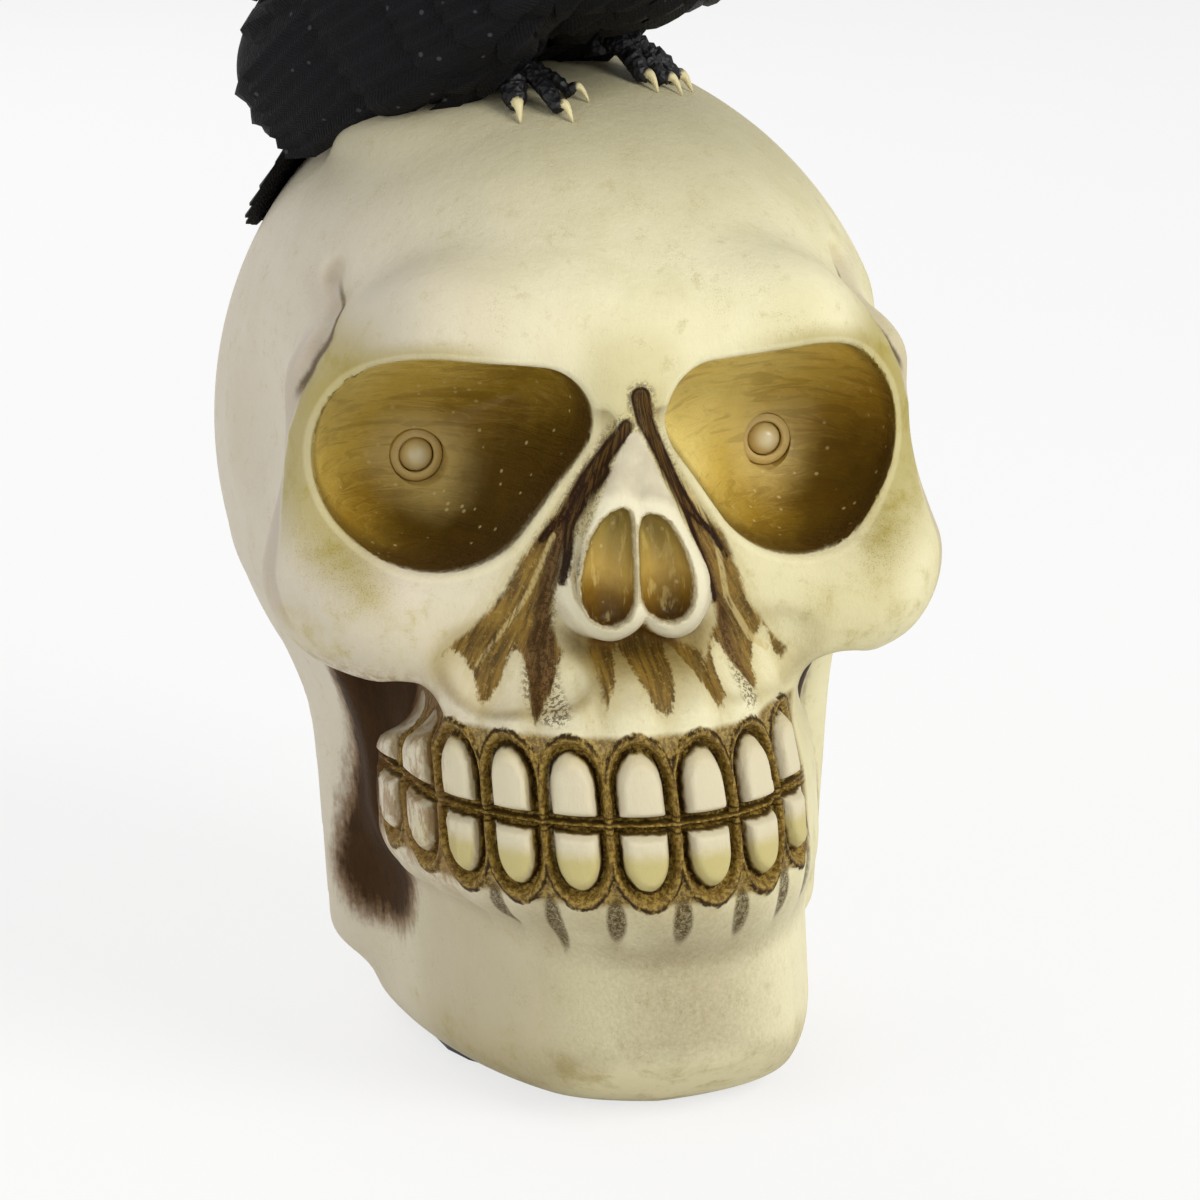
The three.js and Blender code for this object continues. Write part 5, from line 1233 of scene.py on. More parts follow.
def flight_feathers(side):
    """Coverts, secondaries and primaries laid over one wing."""
    centre, half, pitch = CROW_WING
    pieces = []

    def field(x, y, z):
        return tipped_egg(x, y * side, z, centre, half, pitch)

    def lay(name, starts, ways, lengths, widths, lift, raise_):
        roots = []
        for along, over in starts:
            x = along * half[0] * math.cos(pitch) - over * half[2] * math.sin(pitch)
            z = along * half[0] * math.sin(pitch) + over * half[2] * math.cos(pitch)
            out = math.sqrt(max(1 - along * along - over * over, 0.02)) * half[1]
            roots.append((centre[0] + x, (centre[1] + out) * side, centre[2] + z))
        ways = np.array([(math.cos(a) * -1, 0, math.sin(a)) for a in ways])
        piece = feather_mesh(name, np.array(roots), ways, np.array(lengths, float), np.array(widths, float),
                             lambda x, y, z: field(x, y, z) - raise_, lift, 8)
        pieces.append(piece)

    primary = np.linspace(0, 1, 7)
    lay("primaries", [(-0.05 - 0.1 * t, 0.42 - 1.05 * t) for t in primary],
        [-pitch - 0.22 + 0.05 * t for t in primary], [26.5 - 2 * t for t in primary], [8.0] * 7, 0.8, 0.3)
    second = np.linspace(0, 1, 8)
    lay("secondaries", [(0.3 - 0.05 * t, 0.62 - 1.3 * t) for t in second],
        [-pitch - 0.14 + 0.16 * t for t in second], [20.5 - 4 * t for t in second], [7.4] * 8, 0.9, 1.2)
    for start, long_, wide, up in COVERTS:
        across = np.linspace(0.66, -0.66, 9) * math.sqrt(1 - start * start)
        lay("coverts", [(start, a) for a in across], [-pitch - 0.15 * a for a in across], [long_] * 9, [wide] * 9,
            0.8, up)
    return pieces


def tail_feathers():
    """Tail feathers fanned over each other, hanging behind the head."""
    base, tip = np.array([-22.0, 0, 10.0]), np.array([-50.0, 0, -31.0])
    down = (tip - base) / np.linalg.norm(tip - base)
    out = np.array([down[2], 0, -down[0]])
    out *= -1 if out[0] > 0 else 1

    def sheet(x, y, z):
        from_base = [x - base[0], z - base[2]]
        reach = from_base[0] * down[0] + from_base[1] * down[2]
        away = from_base[0] * out[0] + from_base[1] * out[2]
        return away + 0.008 * y * y - 2.2 * np.sin(np.clip(reach / 47, -0.2, 1.2) * math.pi)

    pieces = []
    order = [0, 1, -1, 2, -2, 3, -3, 4, -4, 5, -5]
    for layer, k in enumerate(reversed(order)):
        root = base + np.array([0, k * 0.75, 0])
        way = down + np.array([0, k * 0.026, 0])
        length = np.linalg.norm(tip - base) * (1 - 0.012 * k * k)
        pieces.append(feather_mesh("tail_feather", np.array([root]), np.array([way]), np.array([length]),
                                   np.array([7.4]), lambda x, y, z, up=layer * 0.32: sheet(x, y, z) - up, 0.4, 10))
    return pieces


def crown_height(x, y):
    """Height of the skull's top at a place, found by halving."""
    low, high = 100.0, 150.0
    for _ in range(30):
        middle = (low + high) / 2
        if bone_field(np.float64(x), np.float64(y), np.float64(middle)) < 0:
            low = middle
        else:
            high = middle
    return low


def loft(name, centres, radii, sides=10, flat=1.0):
    """A closed tube through places, with a radius at each."""
    centres = np.asarray(centres, float)
    ahead = np.gradient(centres, axis=0)
    ahead /= np.linalg.norm(ahead, axis=1)[:, None]
    beside = np.cross(ahead, (0, 0, 1.0))
    beside /= np.maximum(np.linalg.norm(beside, axis=1), 1e-6)[:, None]
    over = np.cross(beside, ahead)
    turn = np.arange(sides) * math.tau / sides
    rings = [c + (np.cos(turn)[:, None] * b + np.sin(turn)[:, None] * o * flat) * r
             for c, b, o, r in zip(centres, beside, over, radii)]
    points = np.concatenate(rings + [centres[:1], centres[-1:]])
    count = len(centres)
    faces = []
    for k in range(count - 1):
        for i in range(sides):
            j = (i + 1) % sides
            faces.append((k * sides + i, k * sides + j, k * sides + sides + j, k * sides + sides + i))
    first, last = count * sides, count * sides + 1
    for i in range(sides):
        j = (i + 1) % sides
        faces.append((first, j, i))
        faces.append((last, (count - 1) * sides + i, (count - 1) * sides + j))
    piece = new_piece(name, points, faces)
    edit_all(piece, normals_make_consistent={"inside": False})
    bpy.ops.object.shade_smooth()
    return piece


TOES = {-1: ((-0.735, 6.4, 1.9), (-0.18, 10.8, 1.25), (0.3, 10.0, 0.9)),
        1: ((-0.11, 8.0, 1.5), (0.27, 9.8, 1.3), (0.65, 11.0, 1.6))}
ANKLES = {-1: (-3, -8.4), 1: (2.3, 9.2)}


def crow_toe(ankle, angle, length, thick, claw):
    """One toe with ringed scales and pads, and its claw, along the crown."""
    heading = math.atan2(CROW_WAY[1], CROW_WAY[0]) + angle
    way = np.array([math.cos(heading), math.sin(heading)])
    share = np.linspace(0, 1, 26)
    flat = ankle[None, :2] + share[:, None] * length * way
    ground = np.array([crown_height(*p) for p in flat])
    knuckle = thick * (1.05 - 0.35 * share + 0.16 * np.abs(np.cos(share * math.pi * 2.5)) + 0.08 * np.cos(share * 60))
    lift = knuckle * 0.75 + 3.4 * (1 - share ** 2.6)
    toe = loft("toe", np.column_stack([flat, ground + lift]), knuckle, 10, 0.9)
    share = np.linspace(0, 1, 9)
    flat = ankle[None, :2] + (length * 0.97 + share[:, None] * claw) * way
    ground = np.array([crown_height(*p) for p in flat])
    arc = 1.1 * (1 - share) + 1.5 * np.sin(share * math.pi) * 0.9 + 0.15
    nail = loft("claw", np.column_stack([flat, ground + arc]), (0.35 + thick * 0.4) * (1 - share) ** 0.8 + 0.1, 8)
    set_mask(nail, "tip", np.clip(np.append(np.repeat(share, 8), (0, 1)), 0, 1))
    return toe, nail


def crow_feet():
    """Three toes ahead and one behind for each foot, and the shanks up into the belly."""
    toes, claws = [], []
    for side, (ahead, left) in ANKLES.items():
        ankle = crow_place(np.array([ahead, left, 0.0]))
        ankle[2] = crown_height(*ankle[:2]) + 3.0
        for angle, length, thick in TOES[side] + ((math.pi, 6.0, 1.3),):
            toe, nail = crow_toe(ankle, angle, length, thick * 1.2, 2.9)
            toes.append(toe)
            claws.append(nail)
        hip = crow_place(np.array([ahead - 3, left, 16.0]))
        share = np.linspace(0, 1, 16)[:, None]
        shank = ankle - (0, 0, 1.2) + (hip - ankle) * share
        toes.append(loft("shank", shank, np.interp(share[:, 0], (0, 0.15, 0.5, 1), (2.4, 2.2, 3.6, 6)), 14))
    return join_pieces("crow_feet", toes), join_pieces("crow_claws", claws)


def crow_beak():
    """Both halves of the beak, closed, with an arched ridge and a hooked tip."""
    share = np.linspace(0, 1, 18)
    pieces = []
    for name, start, sink, deep, long_ in BEAK:
        centre = np.column_stack([start[0] + long_ * share, 0 * share, start[2] - sink * share ** 2.2])
        radius = deep * np.maximum(1 - share ** 1.7, 0.03)
        pieces.append(loft("beak_" + name, crow_place(centre), radius, 16, 1.05))
        for vertex in pieces[-1].data.vertices:
            local = crow_frame(np.array(vertex.co) / MM)
            local[1] *= BEAK_NARROW
            vertex.co = crow_place(local) * MM
    return join_pieces("crow_beak", pieces)


def crow_eyes():
    """Two round beads in the sides of the head."""
    eyes = []
    ahead, aside, up = EYE_PLACE
    for side in (-1, 1):
        bpy.ops.object.select_all(action="DESELECT")
        bpy.ops.mesh.primitive_uv_sphere_add(segments=32, ring_count=20, radius=EYE_RADIUS * MM,
                                             location=crow_place(np.array([ahead, side * aside, up])) * MM)
        eyes.append(settle("crow_eye"))
        bpy.ops.object.shade_smooth()
    return eyes


def feather_paint():
    """Matt black paint over sculpted feathers, with faint navy and a few pale specks."""
    paint = Paint("black_feather_paint")
    place = paint.places()
    cloud = paint.noise(place, 0.12, 3)
    fine = paint.noise(place, 1.4, 3, 0.7)
    barb = (paint.mask("vein") * 1.6 + abs(paint.mask("vane")) * 1.1)
    lines = abs(barb - barb.floor() - 0.5) * 2
    quill = paint.steps(abs(paint.mask("vane")), 0.45, 0.15)
    colour = paint.mix(cloud, rgb("050506"), rgb("0f0f13"))
    colour = paint.mix(paint.steps(fine, 0.56, 0.75) * 0.5, colour, rgb("1e1e25"))
    colour = paint.mix(quill * 0.3, colour, rgb("17171d"))
    colour = paint.mix(spots(paint, place, 0.45, 0.2, 0.2) * 0.4, colour, rgb("5c5a60"))
    relief = paint.bump(lines, 0.35, 0.00022)
    relief = paint.bump(fine, 0.5, 0.0007, relief)
    return paint.surface(Base_Color=colour, Roughness=0.55 + (fine - 0.5) * 0.2, Normal=relief,
                         Specular_IOR_Level=0.12)


def foot_paint():
    paint = Paint("black_foot_paint")
    place = paint.places()
    fine = paint.noise(place, 1.2, 3, 0.7)
    colour = paint.mix(fine, rgb("070708"), rgb("17171b"))
    relief = paint.bump(paint.cells(place, 1.1), 0.6, 0.0005)
    return paint.surface(Base_Color=colour, Roughness=0.46, Normal=relief, Specular_IOR_Level=0.3)


def claw_paint():
    paint = Paint("cream_claw_paint")
    fine = paint.noise(paint.places(), 1.2, 3, 0.7)
    tip = paint.steps(paint.mask("tip") + (fine - 0.5) * 0.3, 0.3, 0.5)
    colour = paint.mix(tip, rgb("121215"), rgb("d9cd9c"))
    return paint.surface(Base_Color=colour, Roughness=0.45, Normal=paint.bump(fine, 0.4, 0.0004))


def beak_paint():
    paint = Paint("black_beak_paint")
    place = paint.places()
    fine = paint.noise(place, 0.9, 4, 0.6)
    colour = paint.mix(fine, rgb("0d0d10"), rgb("2a2a2f"))
    return paint.surface(Base_Color=colour, Roughness=0.33 + (fine - 0.5) * 0.2,
                         Normal=paint.bump(paint.noise(place, 2.2, 3), 0.3, 0.0004), Coat_Weight=0.2)


def eye_paint():
    paint = Paint("glossy_black_eye")
    fine = paint.noise(paint.places(), 0.8, 2)
    return paint.surface(Base_Color=paint.mix(fine, rgb("050506"), rgb("120d0a")), Roughness=0.08, Coat_Weight=0.6)


class SKULLLIGHT_OT_crow(bpy.types.Operator):
    """Model the perched crow: body, feathers, wings, tail, feet, claws, beak and eyes"""
    bl_idname = "skulllight.crow"
    bl_label = "Crow"

    def execute(self, context):
        step = context.scene.skull_sizes.bird_detail / MM
        points, faces = field_mesh(seated, CROW_GRID, step, 0.8, 2)
        body = new_piece("crow_body", crow_place(points), faces)
        for name in ("vein", "vane"):
            set_mask(body, name, np.full(len(points), 9.0))
        smooth(body, 50)
        plumage = body_feathers(field_mesh(crow_field, CROW_GRID, FEATHER_STEP, 1.2, 2)[0])
        wings = join_pieces("crow_wings", flight_feathers(1) + flight_feathers(-1))
        tail = join_pieces("crow_tail", tail_feathers())
        feet, claws = crow_feet()
        eyes = crow_eyes()
        black = feather_paint()
        for piece in (plumage, wings, tail):
            smooth(piece, 60)
        for piece, paint in (*((feathered, black) for feathered in (body, plumage, wings, tail)),
                             (feet, foot_paint()), (claws, claw_paint()), (crow_beak(), beak_paint()),
                             (join_pieces("crow_eyes", eyes), eye_paint())):
            hand_over(piece, "crow_resin", paint, "root", "crow")
        return {"FINISHED"}


# Lamps, panel, base and what is inside

def turned(name, profile, at, way, sides=64, ring=False):
    """A body of revolution from (radius, height) places, standing on a place along an axis."""
    edges = [(i, i + 1) for i in range(len(profile) - 1)] + [(len(profile) - 1, 0)] * ring
    piece = new_piece(name, [(radius, 0, height) for radius, height in profile], [], edges)
    edit_all(piece, spin={"steps": sides, "angle": math.tau, "center": (0, 0, 0), "axis": (0, 0, 1)},
             remove_doubles={"threshold": 0.000001}, normals_make_consistent={"inside": False})
    piece.rotation_euler = {"X": (0, math.pi / 2, 0), "Y": (-math.pi / 2, 0, 0)}[way]
    piece.location = [v * MM for v in at]
    bpy.ops.object.transform_apply(location=True, rotation=True, scale=True)
    smooth(piece, 35)
    return piece


def black_plastic_paint():
    """Moulded black plastic with a fine grain and faint scuffs."""
    paint = Paint("grained_black_plastic")
    place = paint.places()
    cloud = paint.noise(place, 0.1, 4, 0.6)
    grain = paint.cells(place, 3.2)
    scuff = paint.steps(paint.noise(paint.places((1, 0.15, 1)), 1.4, 4, 0.7), 0.62, 0.7)
    colour = paint.mix(cloud, rgb("0d0d0e"), rgb("1b1b1c"))
    colour = paint.mix(scuff * 0.35, colour, rgb("3c3c3c"))
    relief = paint.bump(grain, 0.3, 0.00012)
    return paint.surface(Base_Color=colour, Roughness=0.46 + (cloud - 0.5) * 0.2 + scuff * 0.1, Normal=relief,
                         Specular_IOR_Level=0.4)


def plated_paint():
    """Nickel-plated steel with fine drawing lines and a few dull spots."""
    paint = Paint("nickel_plated_steel")
    place = paint.places()
    dull = paint.steps(paint.noise(place, 0.9, 4, 0.65), 0.5, 0.72)
    drawn = paint.noise(paint.places((1, 1, 0.08)), 3.0, 3, 0.6)
    colour = paint.mix(dull, rgb("c9c6bf"), rgb("8f8a80"))
    return paint.surface(Base_Color=colour, Metallic=1.0, Roughness=0.24 + dull * 0.22,
                         Normal=paint.bump(drawn, 0.2, 0.0001))


def sleeve_paint():
    """Blue shrink sleeve with bare metal ends."""
    paint = Paint("battery_shrink_sleeve")
    place = paint.places()
    x = paint.parts_of(place)[0]
    low, high = (corner[0] for corner in box_of("battery"))
    sleeve = paint.steps(x, low + 0.7, low + 0.8) * paint.steps(x, high - 2.2, high - 2.3)
    cloud = paint.noise(place, 0.3, 3)
    crinkle = paint.noise(paint.places((0.2, 1, 1)), 1.2, 3)
    band = paint.steps(abs(x - (high - 5)), 1.4, 1.3)
    film = paint.mix(cloud, rgb("1d4f7c"), rgb("2a6393"))
    film = paint.mix(band, film, rgb("c9ccd0"))
    colour = paint.mix(sleeve, rgb("b4b2ac"), film)
    return paint.surface(Base_Color=colour, Metallic=1 - sleeve, Roughness=0.3 + cloud * 0.1,
                         Normal=paint.bump(crinkle, 0.3, 0.0003))


def board_paint():
    """Green resist over copper tracks, with dark and bright parts on top."""
    paint = Paint("green_circuit_board")
    place = paint.places()
    x, y, z = paint.parts_of(place)
    screw = middle_of("board_screw_1")
    top = box_of("circuit_board")[0][2] + 1.7
    tracks = paint.add("ShaderNodeTexBrick", {"offset": 0.37}, {
        "Vector": place, "Color1": (1, 1, 1, 1), "Color2": (1, 1, 1, 1), "Mortar": (0, 0, 0, 1), "Scale": 0.55,
        "Mortar Size": 0.06})
    resist = paint.mix(paint.noise(place, 0.4, 3), rgb("17502c"), rgb("1f6a3b"))
    resist = paint.mix(tracks, rgb("3b8a55"), resist)
    pads = paint.steps(abs(abs(x) - abs(screw[0])), 2.4, 2.2) * paint.steps(abs(y - screw[1]), 2.4, 2.2)
    colour = paint.mix(pads, resist, rgb("c9a25a"))
    raised = paint.steps(z, top - 0.05, top + 0.05)
    parts = paint.mix(paint.steps(x, -5.0, -4.6), rgb("9a9da3"), rgb("141416"))
    parts = paint.mix(paint.steps(x, 5.0, 5.4), parts, rgb("2d3a2f"))
    colour = paint.mix(raised, colour, parts)
    return paint.surface(Base_Color=colour, Roughness=0.35 + raised * 0.15,
                         Normal=paint.bump(tracks, 0.3, 0.0001))


def sheath_paint():
    """Soft red sheath of the leads."""
    paint = Paint("red_lead_sheath")
    place = paint.places()
    cloud = paint.noise(place, 0.5, 3)
    colour = paint.mix(cloud, rgb("7d1712"), rgb("9c2a20"))
    return paint.surface(Base_Color=colour, Roughness=0.45 + cloud * 0.1,
                         Normal=paint.bump(paint.noise(place, 3.0, 2), 0.15, 0.0001))


def slider_paint():
    paint = Paint("grey_switch_knob")
    place = paint.places()
    grain = paint.cells(place, 4.0)
    colour = paint.mix(paint.noise(place, 0.8, 3), rgb("b9b8b2"), rgb("cfcec7"))
    return paint.surface(Base_Color=colour, Roughness=0.5, Normal=paint.bump(grain, 0.25, 0.0001))


def cell_paint():
    """Blue crystals with silver fingers and two busbars."""
    paint = Paint("crystalline_solar_cell")
    place = paint.places(turn=PANEL_TURN)
    x, y, _ = paint.parts_of(place)
    flakes = paint.add("ShaderNodeTexVoronoi", None, {"Vector": place, "Scale": 0.3}, "Color")
    shade = paint.add("ShaderNodeSeparateColor", None, {0: flakes})
    colour = paint.mix(shade, rgb("0c1838"), rgb("24407c"))
    fingers = y / 1.5
    fingers = paint.steps(abs(fingers - fingers.floor() - 0.5), 0.07, 0.04)
    bars = paint.steps(abs(abs(x) - 7.2), 0.75, 0.65)
    colour = paint.mix((fingers * 0.75 + bars).at_most(1), colour, rgb("b9bdc4"))
    return paint.surface(Base_Color=colour, Roughness=0.28 + bars * 0.12, Metallic=bars * 0.6,
                         Normal=paint.bump(fingers + bars, 0.4, 0.0001))


def cover_paint():
    """Clear acrylic with a little dust."""
    paint = Paint("clear_panel_cover")
    dust = paint.steps(paint.noise(paint.places(), 0.5, 5, 0.7), 0.5, 0.75)
    return paint.surface(Base_Color=paint.mix(dust, rgb("f4f7f8"), rgb("dcdcd2")), Roughness=0.03 + dust * 0.12,
                         IOR=1.3, Transmission_Weight=1.0)


def lamp_paint():
    """Milky dome, amber towards its rim, whitest on its axis as a painted glow."""
    paint = Paint("milky_lamp_lens")
    fine = paint.noise(paint.places(), 1.0, 3)
    rim = paint.steps(paint.mask("reach") + (fine - 0.5) * 0.5, 0.5, 2.6)
    colour = paint.mix(rim, tuple(bpy.context.scene.skull_sizes.lamp), rgb("d9bf7a"))
    return paint.surface(Base_Color=colour, Roughness=0.26 + fine * 0.08, Coat_Weight=0.3,
                         Normal=paint.bump(fine, 0.1, 0.0002))


def holder_paint():
    """The front is under the same amber lacquer as the sockets, lighter near the lamp as a painted glow; the back is
    bare black plastic.
    """
    paint = Paint("lacquered_lamp_holder")
    place = paint.places()
    cloud = paint.noise(place, 0.5, 4, 0.6)
    amber = paint.mix(paint.steps(paint.mask("reach") + (cloud - 0.5) * 1.2, 2.4, 4.2), rgb("dcc482"), rgb("c3a45c"))
    colour = paint.mix(paint.steps(paint.mask("back"), 1.6, 2.4), amber, rgb("151516"))
    return paint.surface(Base_Color=colour, Roughness=0.34 + (cloud - 0.5) * 0.1, Specular_IOR_Level=0.3,
                         Normal=paint.bump(cloud, 0.3, 0.0006))


# lamps: places of (radius, height), from the rear for the lamp's flange
DOME_RADIUS = 2.5
LAMP_FLANGE = ((2.5, 0.8), (2.8, 0.7), (2.9, 0.5), (2.9, 0.1), (2.8, 0), (0, 0))
HOLDER_BORE = 2.56
HOLDER_LIP = ((HOLDER_BORE, 0.3), (2.8, 0.05), (3.3, 0), (3.7, 0.15), (3.86, 0.5))
HOLDER_FLANGE = (5.0, 1.3)  # radius and thickness


class SKULLLIGHT_OT_lamps(bpy.types.Operator):
    """Model the two milky lamps, their holders and their leads"""
    bl_idname = "skulllight.lamps"
    bl_label = "Lamps"

    def execute(self, context):
        lens, lacquer, sheath = lamp_paint(), holder_paint(), sheath_paint()
        for side in LAMPS:
            low, high = box_of("led_" + side)
            middle = (low + high) / 2
            long_ = high[1] - low[1]
            profile = [(DOME_RADIUS * math.sin(a), DOME_RADIUS * (1 - math.cos(a)))
                       for a in np.linspace(0, math.pi / 2, 12)]
            profile += [(radius, long_ - up) for radius, up in LAMP_FLANGE]
            lamp = turned("lamp_dome_" + side, profile, (middle[0], low[1], middle[2]), "Y")
            hand_over(lamp, "led_lens", lens, "root", "led_" + side)
            front = HOLDER_FRONT[side] + FIT
            back = box_of("led_holder_" + side)[1][1] - front
            wide, thick = HOLDER_FLANGE
            profile = [*HOLDER_LIP, (HOLDER_LIP[-1][0], back - thick), (wide, back - thick), (wide, back),
                       (HOLDER_BORE, back)]
            holder = turned("lamp_holder_" + side, profile, (middle[0], front, middle[2]), "Y", ring=True)
            hand_over(holder, "black_plastic", lacquer, "root", "led_holder_" + side)
            for piece in (lamp, holder):
                points = place_points(piece)
                set_mask(piece, "reach", np.hypot(points[:, 0] - middle[0], points[:, 2] - middle[2]))
                set_mask(piece, "back", points[:, 1] - HOLDER_FRONT[side])
            dress("led_lead_" + side, 0, "lead_sheath", sheath)
        return {"FINISHED"}


class SKULLLIGHT_OT_panel(bpy.types.Operator):
    """Finish the solar panel: bezel, cell, clear cover and lead"""
    bl_idname = "skulllight.panel"
    bl_label = "Solar panel"

    def execute(self, context):
        dress("panel_bezel", 0.45, "black_plastic", black_plastic_paint())
        dress("solar_cell", 0.1, "solar_silicon", cell_paint())
        dress("panel_cover", 0.15, "clear_cover", cover_paint())
        dress("panel_lead", 0, "lead_sheath", sheath_paint())
        return {"FINISHED"}


class SKULLLIGHT_OT_base(bpy.types.Operator):
    """Finish the base plate, its screws and the battery door with its thumb grooves"""
    bl_idname = "skulllight.base"
    bl_label = "Base"

    def execute(self, context):
        plastic, plated = black_plastic_paint(), plated_paint()
        dress("base_plate", 0.25, "black_plastic", plastic)
        for i in range(1, 5):
            dress("base_screw_%d" % i, 0.12, "steel", plated)
        door = dress("battery_door", 0.2, "black_plastic", plastic, "battery_door")
        _, front, level = box_of("battery_door")[0]
        for i in range(4):
            take_away(door, brick("groove", (9, 0.4, 0.5), (0, front + 4.2 + 1.1 * i, level)))
        return {"FINISHED"}


def battery_cell():
    """The round cell with its crimped ends and its plus cap."""
    low, high = box_of("battery")
    long_, radius = high[0] - low[0], (high[2] - low[2]) / 2
    _, y, z = (low + high) / 2
    case = [(1.2, 0), (0.9, 0.25), (0.4, 0.3), (0.05, 0.6), (0, 0.9)]
    neck = [(0, 2.7), (0.25, 2.5), (0.25, 2.3), (0.1, 2.1), (0.2, 1.6), (0.9, 1.25)]
    cap = [(2.0, 1.2), (1.8, 1.1), (1.7, 0.25), (1.45, 0), (0, 0)]
    profile = [(0, 0)] + [(radius - inward, up) for inward, up in case]
    profile += [(radius - inward, long_ - down) for inward, down in neck]
    profile += [(wide, long_ - down) for wide, down in cap]
    return turned("battery_cell", profile, (low[0], y, z), "X")


def battery_coil():
    """The minus contact's spring, which narrows towards the cell."""
    low, high = box_of("battery_spring")
    _, y, z = (low + high) / 2
    wire = 0.3
    share = np.linspace(0, 1, 140)
    turn = share * math.tau * 4.5
    rise = np.interp(share, (0, 0.2, 0.85, 1), (0, 0.04, 1, 1))
    wide = np.interp(share, (0, 0.2, 1), (3.2, 3.2, 1.9))
    path = np.column_stack([low[0] + wire + (high[0] - low[0] - 2 * wire) * rise, y + wide * np.cos(turn),
                            z + wide * np.sin(turn)])
    return loft("battery_coil", path, np.full(len(path), wire), 8)


class SKULLLIGHT_OT_inside(bpy.types.Operator):
    """Model the battery, its spring and contacts, and finish the board, screws and switch"""
    bl_idname = "skulllight.inside"
    bl_label = "Battery, board and switch"

    def execute(self, context):
        plastic, plated = black_plastic_paint(), plated_paint()
        hand_over(battery_cell(), "battery_sleeve", sleeve_paint(), "root", "battery")
        hand_over(battery_coil(), "steel", plated, "root", "battery_spring")
        for node in ("contact_minus", "contact_plus", "board_screw_1", "board_screw_2"):
            dress(node, 0.1, "steel", plated)
        dress("circuit_board", 0.08, "board_green", board_paint())
        dress("switch_body", 0.15, "black_plastic", plastic)
        knob = dress("switch_slider", 0.12, "switch_plastic", slider_paint(), "switch_slider")
        low, high = box_of("switch_slider")
        x, y, _ = (low + high) / 2
        for shift in (-0.6, 0, 0.6):
            take_away(knob, brick("groove", (3, 0.22, 0.4), (x, y + shift, low[2])))
        return {"FINISHED"}


def area_light(name, at, aim, size, power, colour):
    """A soft rectangular light at a place that looks at another."""
    light = bpy.data.lights.new(name, "AREA")
    light.shape = "RECTANGLE"
    light.size, light.size_y = size
    light.energy = power
    light.color = colour
    lamp = add_object(name, light)
    lamp.location = at
    lamp.rotation_euler = (Vector(aim) - Vector(at)).to_track_quat("-Z", "Y").to_euler()


def floor_paint():
    """A pale floor that is white to the camera and keeps the object's shadow."""
    paint = Paint("pale_floor")
    ground = paint.add("ShaderNodeBsdfDiffuse", None, {"Color": (0.86, 0.86, 0.86, 1)})
    glow = paint.add("ShaderNodeEmission", None, {"Color": (1, 1, 1, 1), "Strength": 1.0})
    way = paint.add("ShaderNodeLightPath").socket.node.outputs
    seen = Wire(paint, way["Is Camera Ray"]).at_least(Wire(paint, way["Is Glossy Ray"]))
    seen = seen.at_least(Wire(paint, way["Is Transmission Ray"]))
    paint.add_output(paint.add("ShaderNodeMixShader", None, {0: seen * 0.72, 1: ground, 2: glow}))
    return paint.material


class SKULLLIGHT_OT_stage(bpy.types.Operator):
    """Set up the camera, the pale floor and the soft light"""
    bl_idname = "skulllight.stage"
    bl_label = "Stage"

    def execute(self, context):
        camera = bpy.data.cameras.new("camera")
        camera.lens = CAMERA_LENS
        camera.sensor_width = 36
        camera.clip_start, camera.clip_end = 0.01, 20
        eye = add_object("camera", camera)
        eye.location = CAMERA_AT
        eye.rotation_euler = Vector(CAMERA_WAY).to_track_quat("-Z", "Y").to_euler()
        context.scene.camera = eye

        bpy.ops.object.select_all(action="DESELECT")
        bpy.ops.mesh.primitive_plane_add(size=12)
        floor = context.object
        floor.name = "floor"
        floor.data.materials.append(floor_paint())

        for name, at, aim, size, share, colour in LIGHTS:
            area_light(name, at, aim, size, KEY_POWER * share, colour)
        world = bpy.data.worlds.new("studio")
        world.use_nodes = True
        sky = world.node_tree.nodes["Background"].inputs
        sky[0].default_value, sky[1].default_value = (1, 1, 1, 1), AMBIENT
        context.scene.world = world
        context.scene.view_settings.view_transform = "Standard"
        return {"FINISHED"}


# The add-on

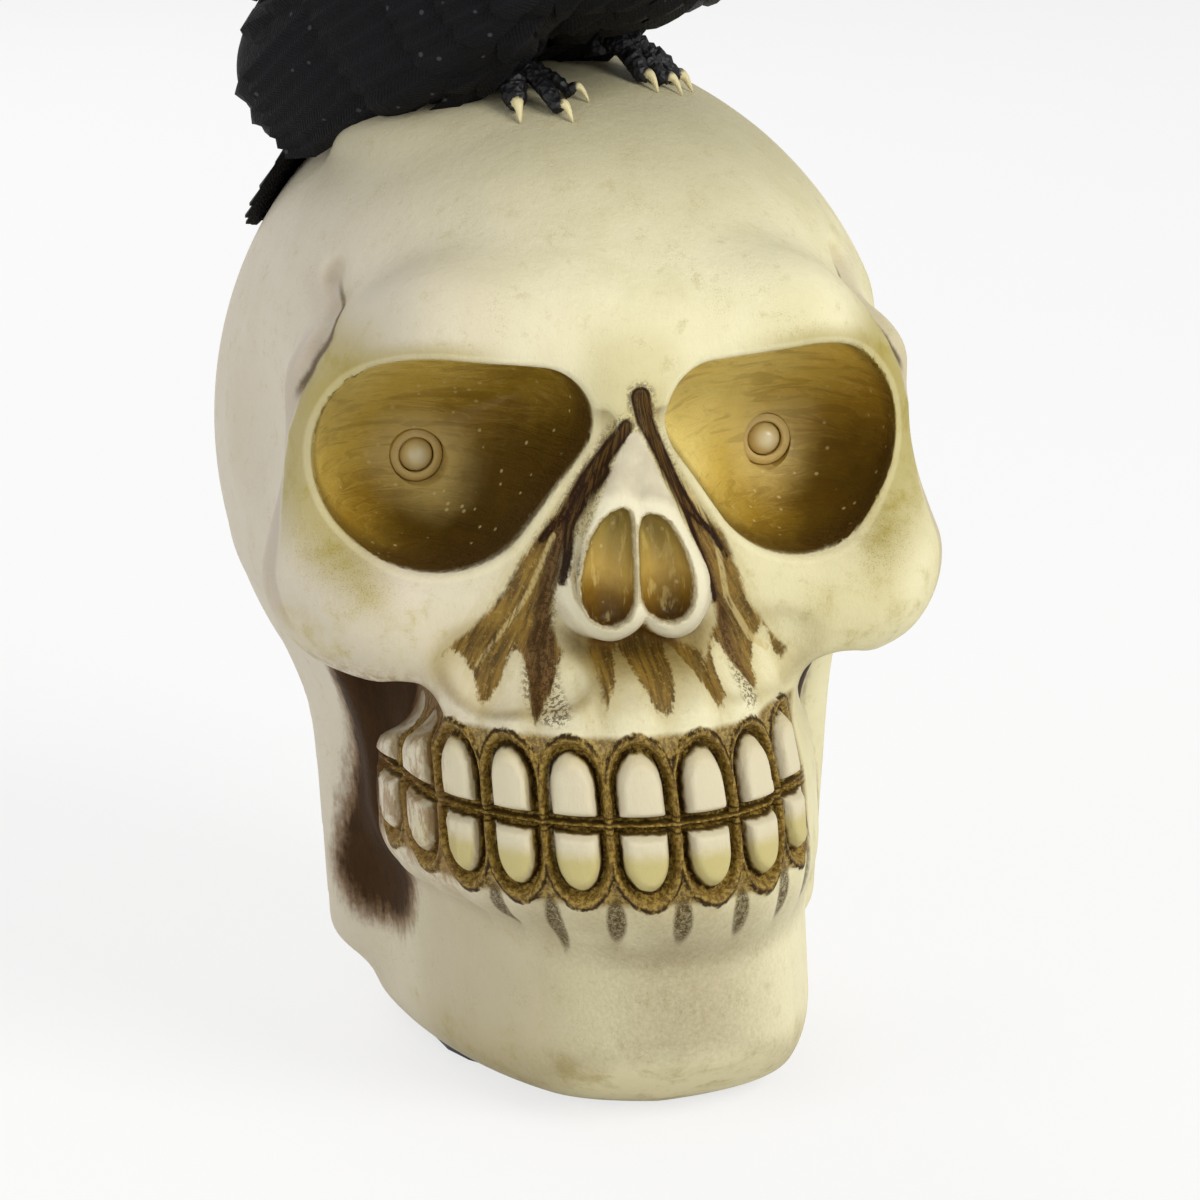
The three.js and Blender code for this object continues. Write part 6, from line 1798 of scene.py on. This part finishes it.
def colour_choice(name, description, code):
    return bpy.props.FloatVectorProperty(name=name, description=description, subtype="COLOR", size=4,
                                         min=0, max=1, default=rgb(code))


class SkullSizes(bpy.types.PropertyGroup):
    detail: bpy.props.FloatProperty(
        name="Detail", description="Smallest step of the skull's surface", unit="LENGTH",
        default=0.00048, min=0.0003, max=0.002, precision=5)
    bird_detail: bpy.props.FloatProperty(
        name="Bird detail", description="Smallest step of the crow's body under its feathers", unit="LENGTH",
        default=0.0011, min=0.0006, max=0.003, precision=5)
    bone: colour_choice("Bone", "Lightest cream of the painted bone", "e4ddb8")
    # Glow is the colour of the painted glow on the lacquer round each lamp.
    glow: colour_choice("Glow", "Pale gold of the lacquer round each lamp", "dec67c")
    # Lamp is the milky colour of the dome's middle, whitened there as a painted glow.
    lamp: colour_choice("Lamp", "Milky colour in the middle of each lamp's dome", "efe2b8")


OPERATORS = (SKULLLIGHT_OT_skull, SKULLLIGHT_OT_crow, SKULLLIGHT_OT_lamps, SKULLLIGHT_OT_panel,
             SKULLLIGHT_OT_base, SKULLLIGHT_OT_inside, SKULLLIGHT_OT_stage)


class SKULLLIGHT_PT_pieces(bpy.types.Panel):
    """The pieces of the light, in the order in which they are made"""
    bl_idname = "SKULLLIGHT_PT_pieces"
    bl_label = "Skull garden light"
    bl_space_type = "VIEW_3D"
    bl_region_type = "UI"
    bl_category = "Skull light"

    def draw(self, context):
        for choice in SkullSizes.__annotations__:
            self.layout.prop(context.scene.skull_sizes, choice)
        for operator in OPERATORS:
            self.layout.operator(operator.bl_idname)


CLASSES = (SkullSizes, *OPERATORS, SKULLLIGHT_PT_pieces)


def register():
    for item in CLASSES:
        bpy.utils.register_class(item)
    bpy.types.Scene.skull_sizes = bpy.props.PointerProperty(type=SkullSizes)


def unregister():
    del bpy.types.Scene.skull_sizes
    for item in reversed(CLASSES):
        bpy.utils.unregister_class(item)


def main():
    register()
    for operator in OPERATORS:
        family, name = operator.bl_idname.split(".")
        if getattr(getattr(bpy.ops, family), name)() != {"FINISHED"}:
            raise RuntimeError(operator.bl_label + " wasn't made")


if __name__ == "__main__":
    main()
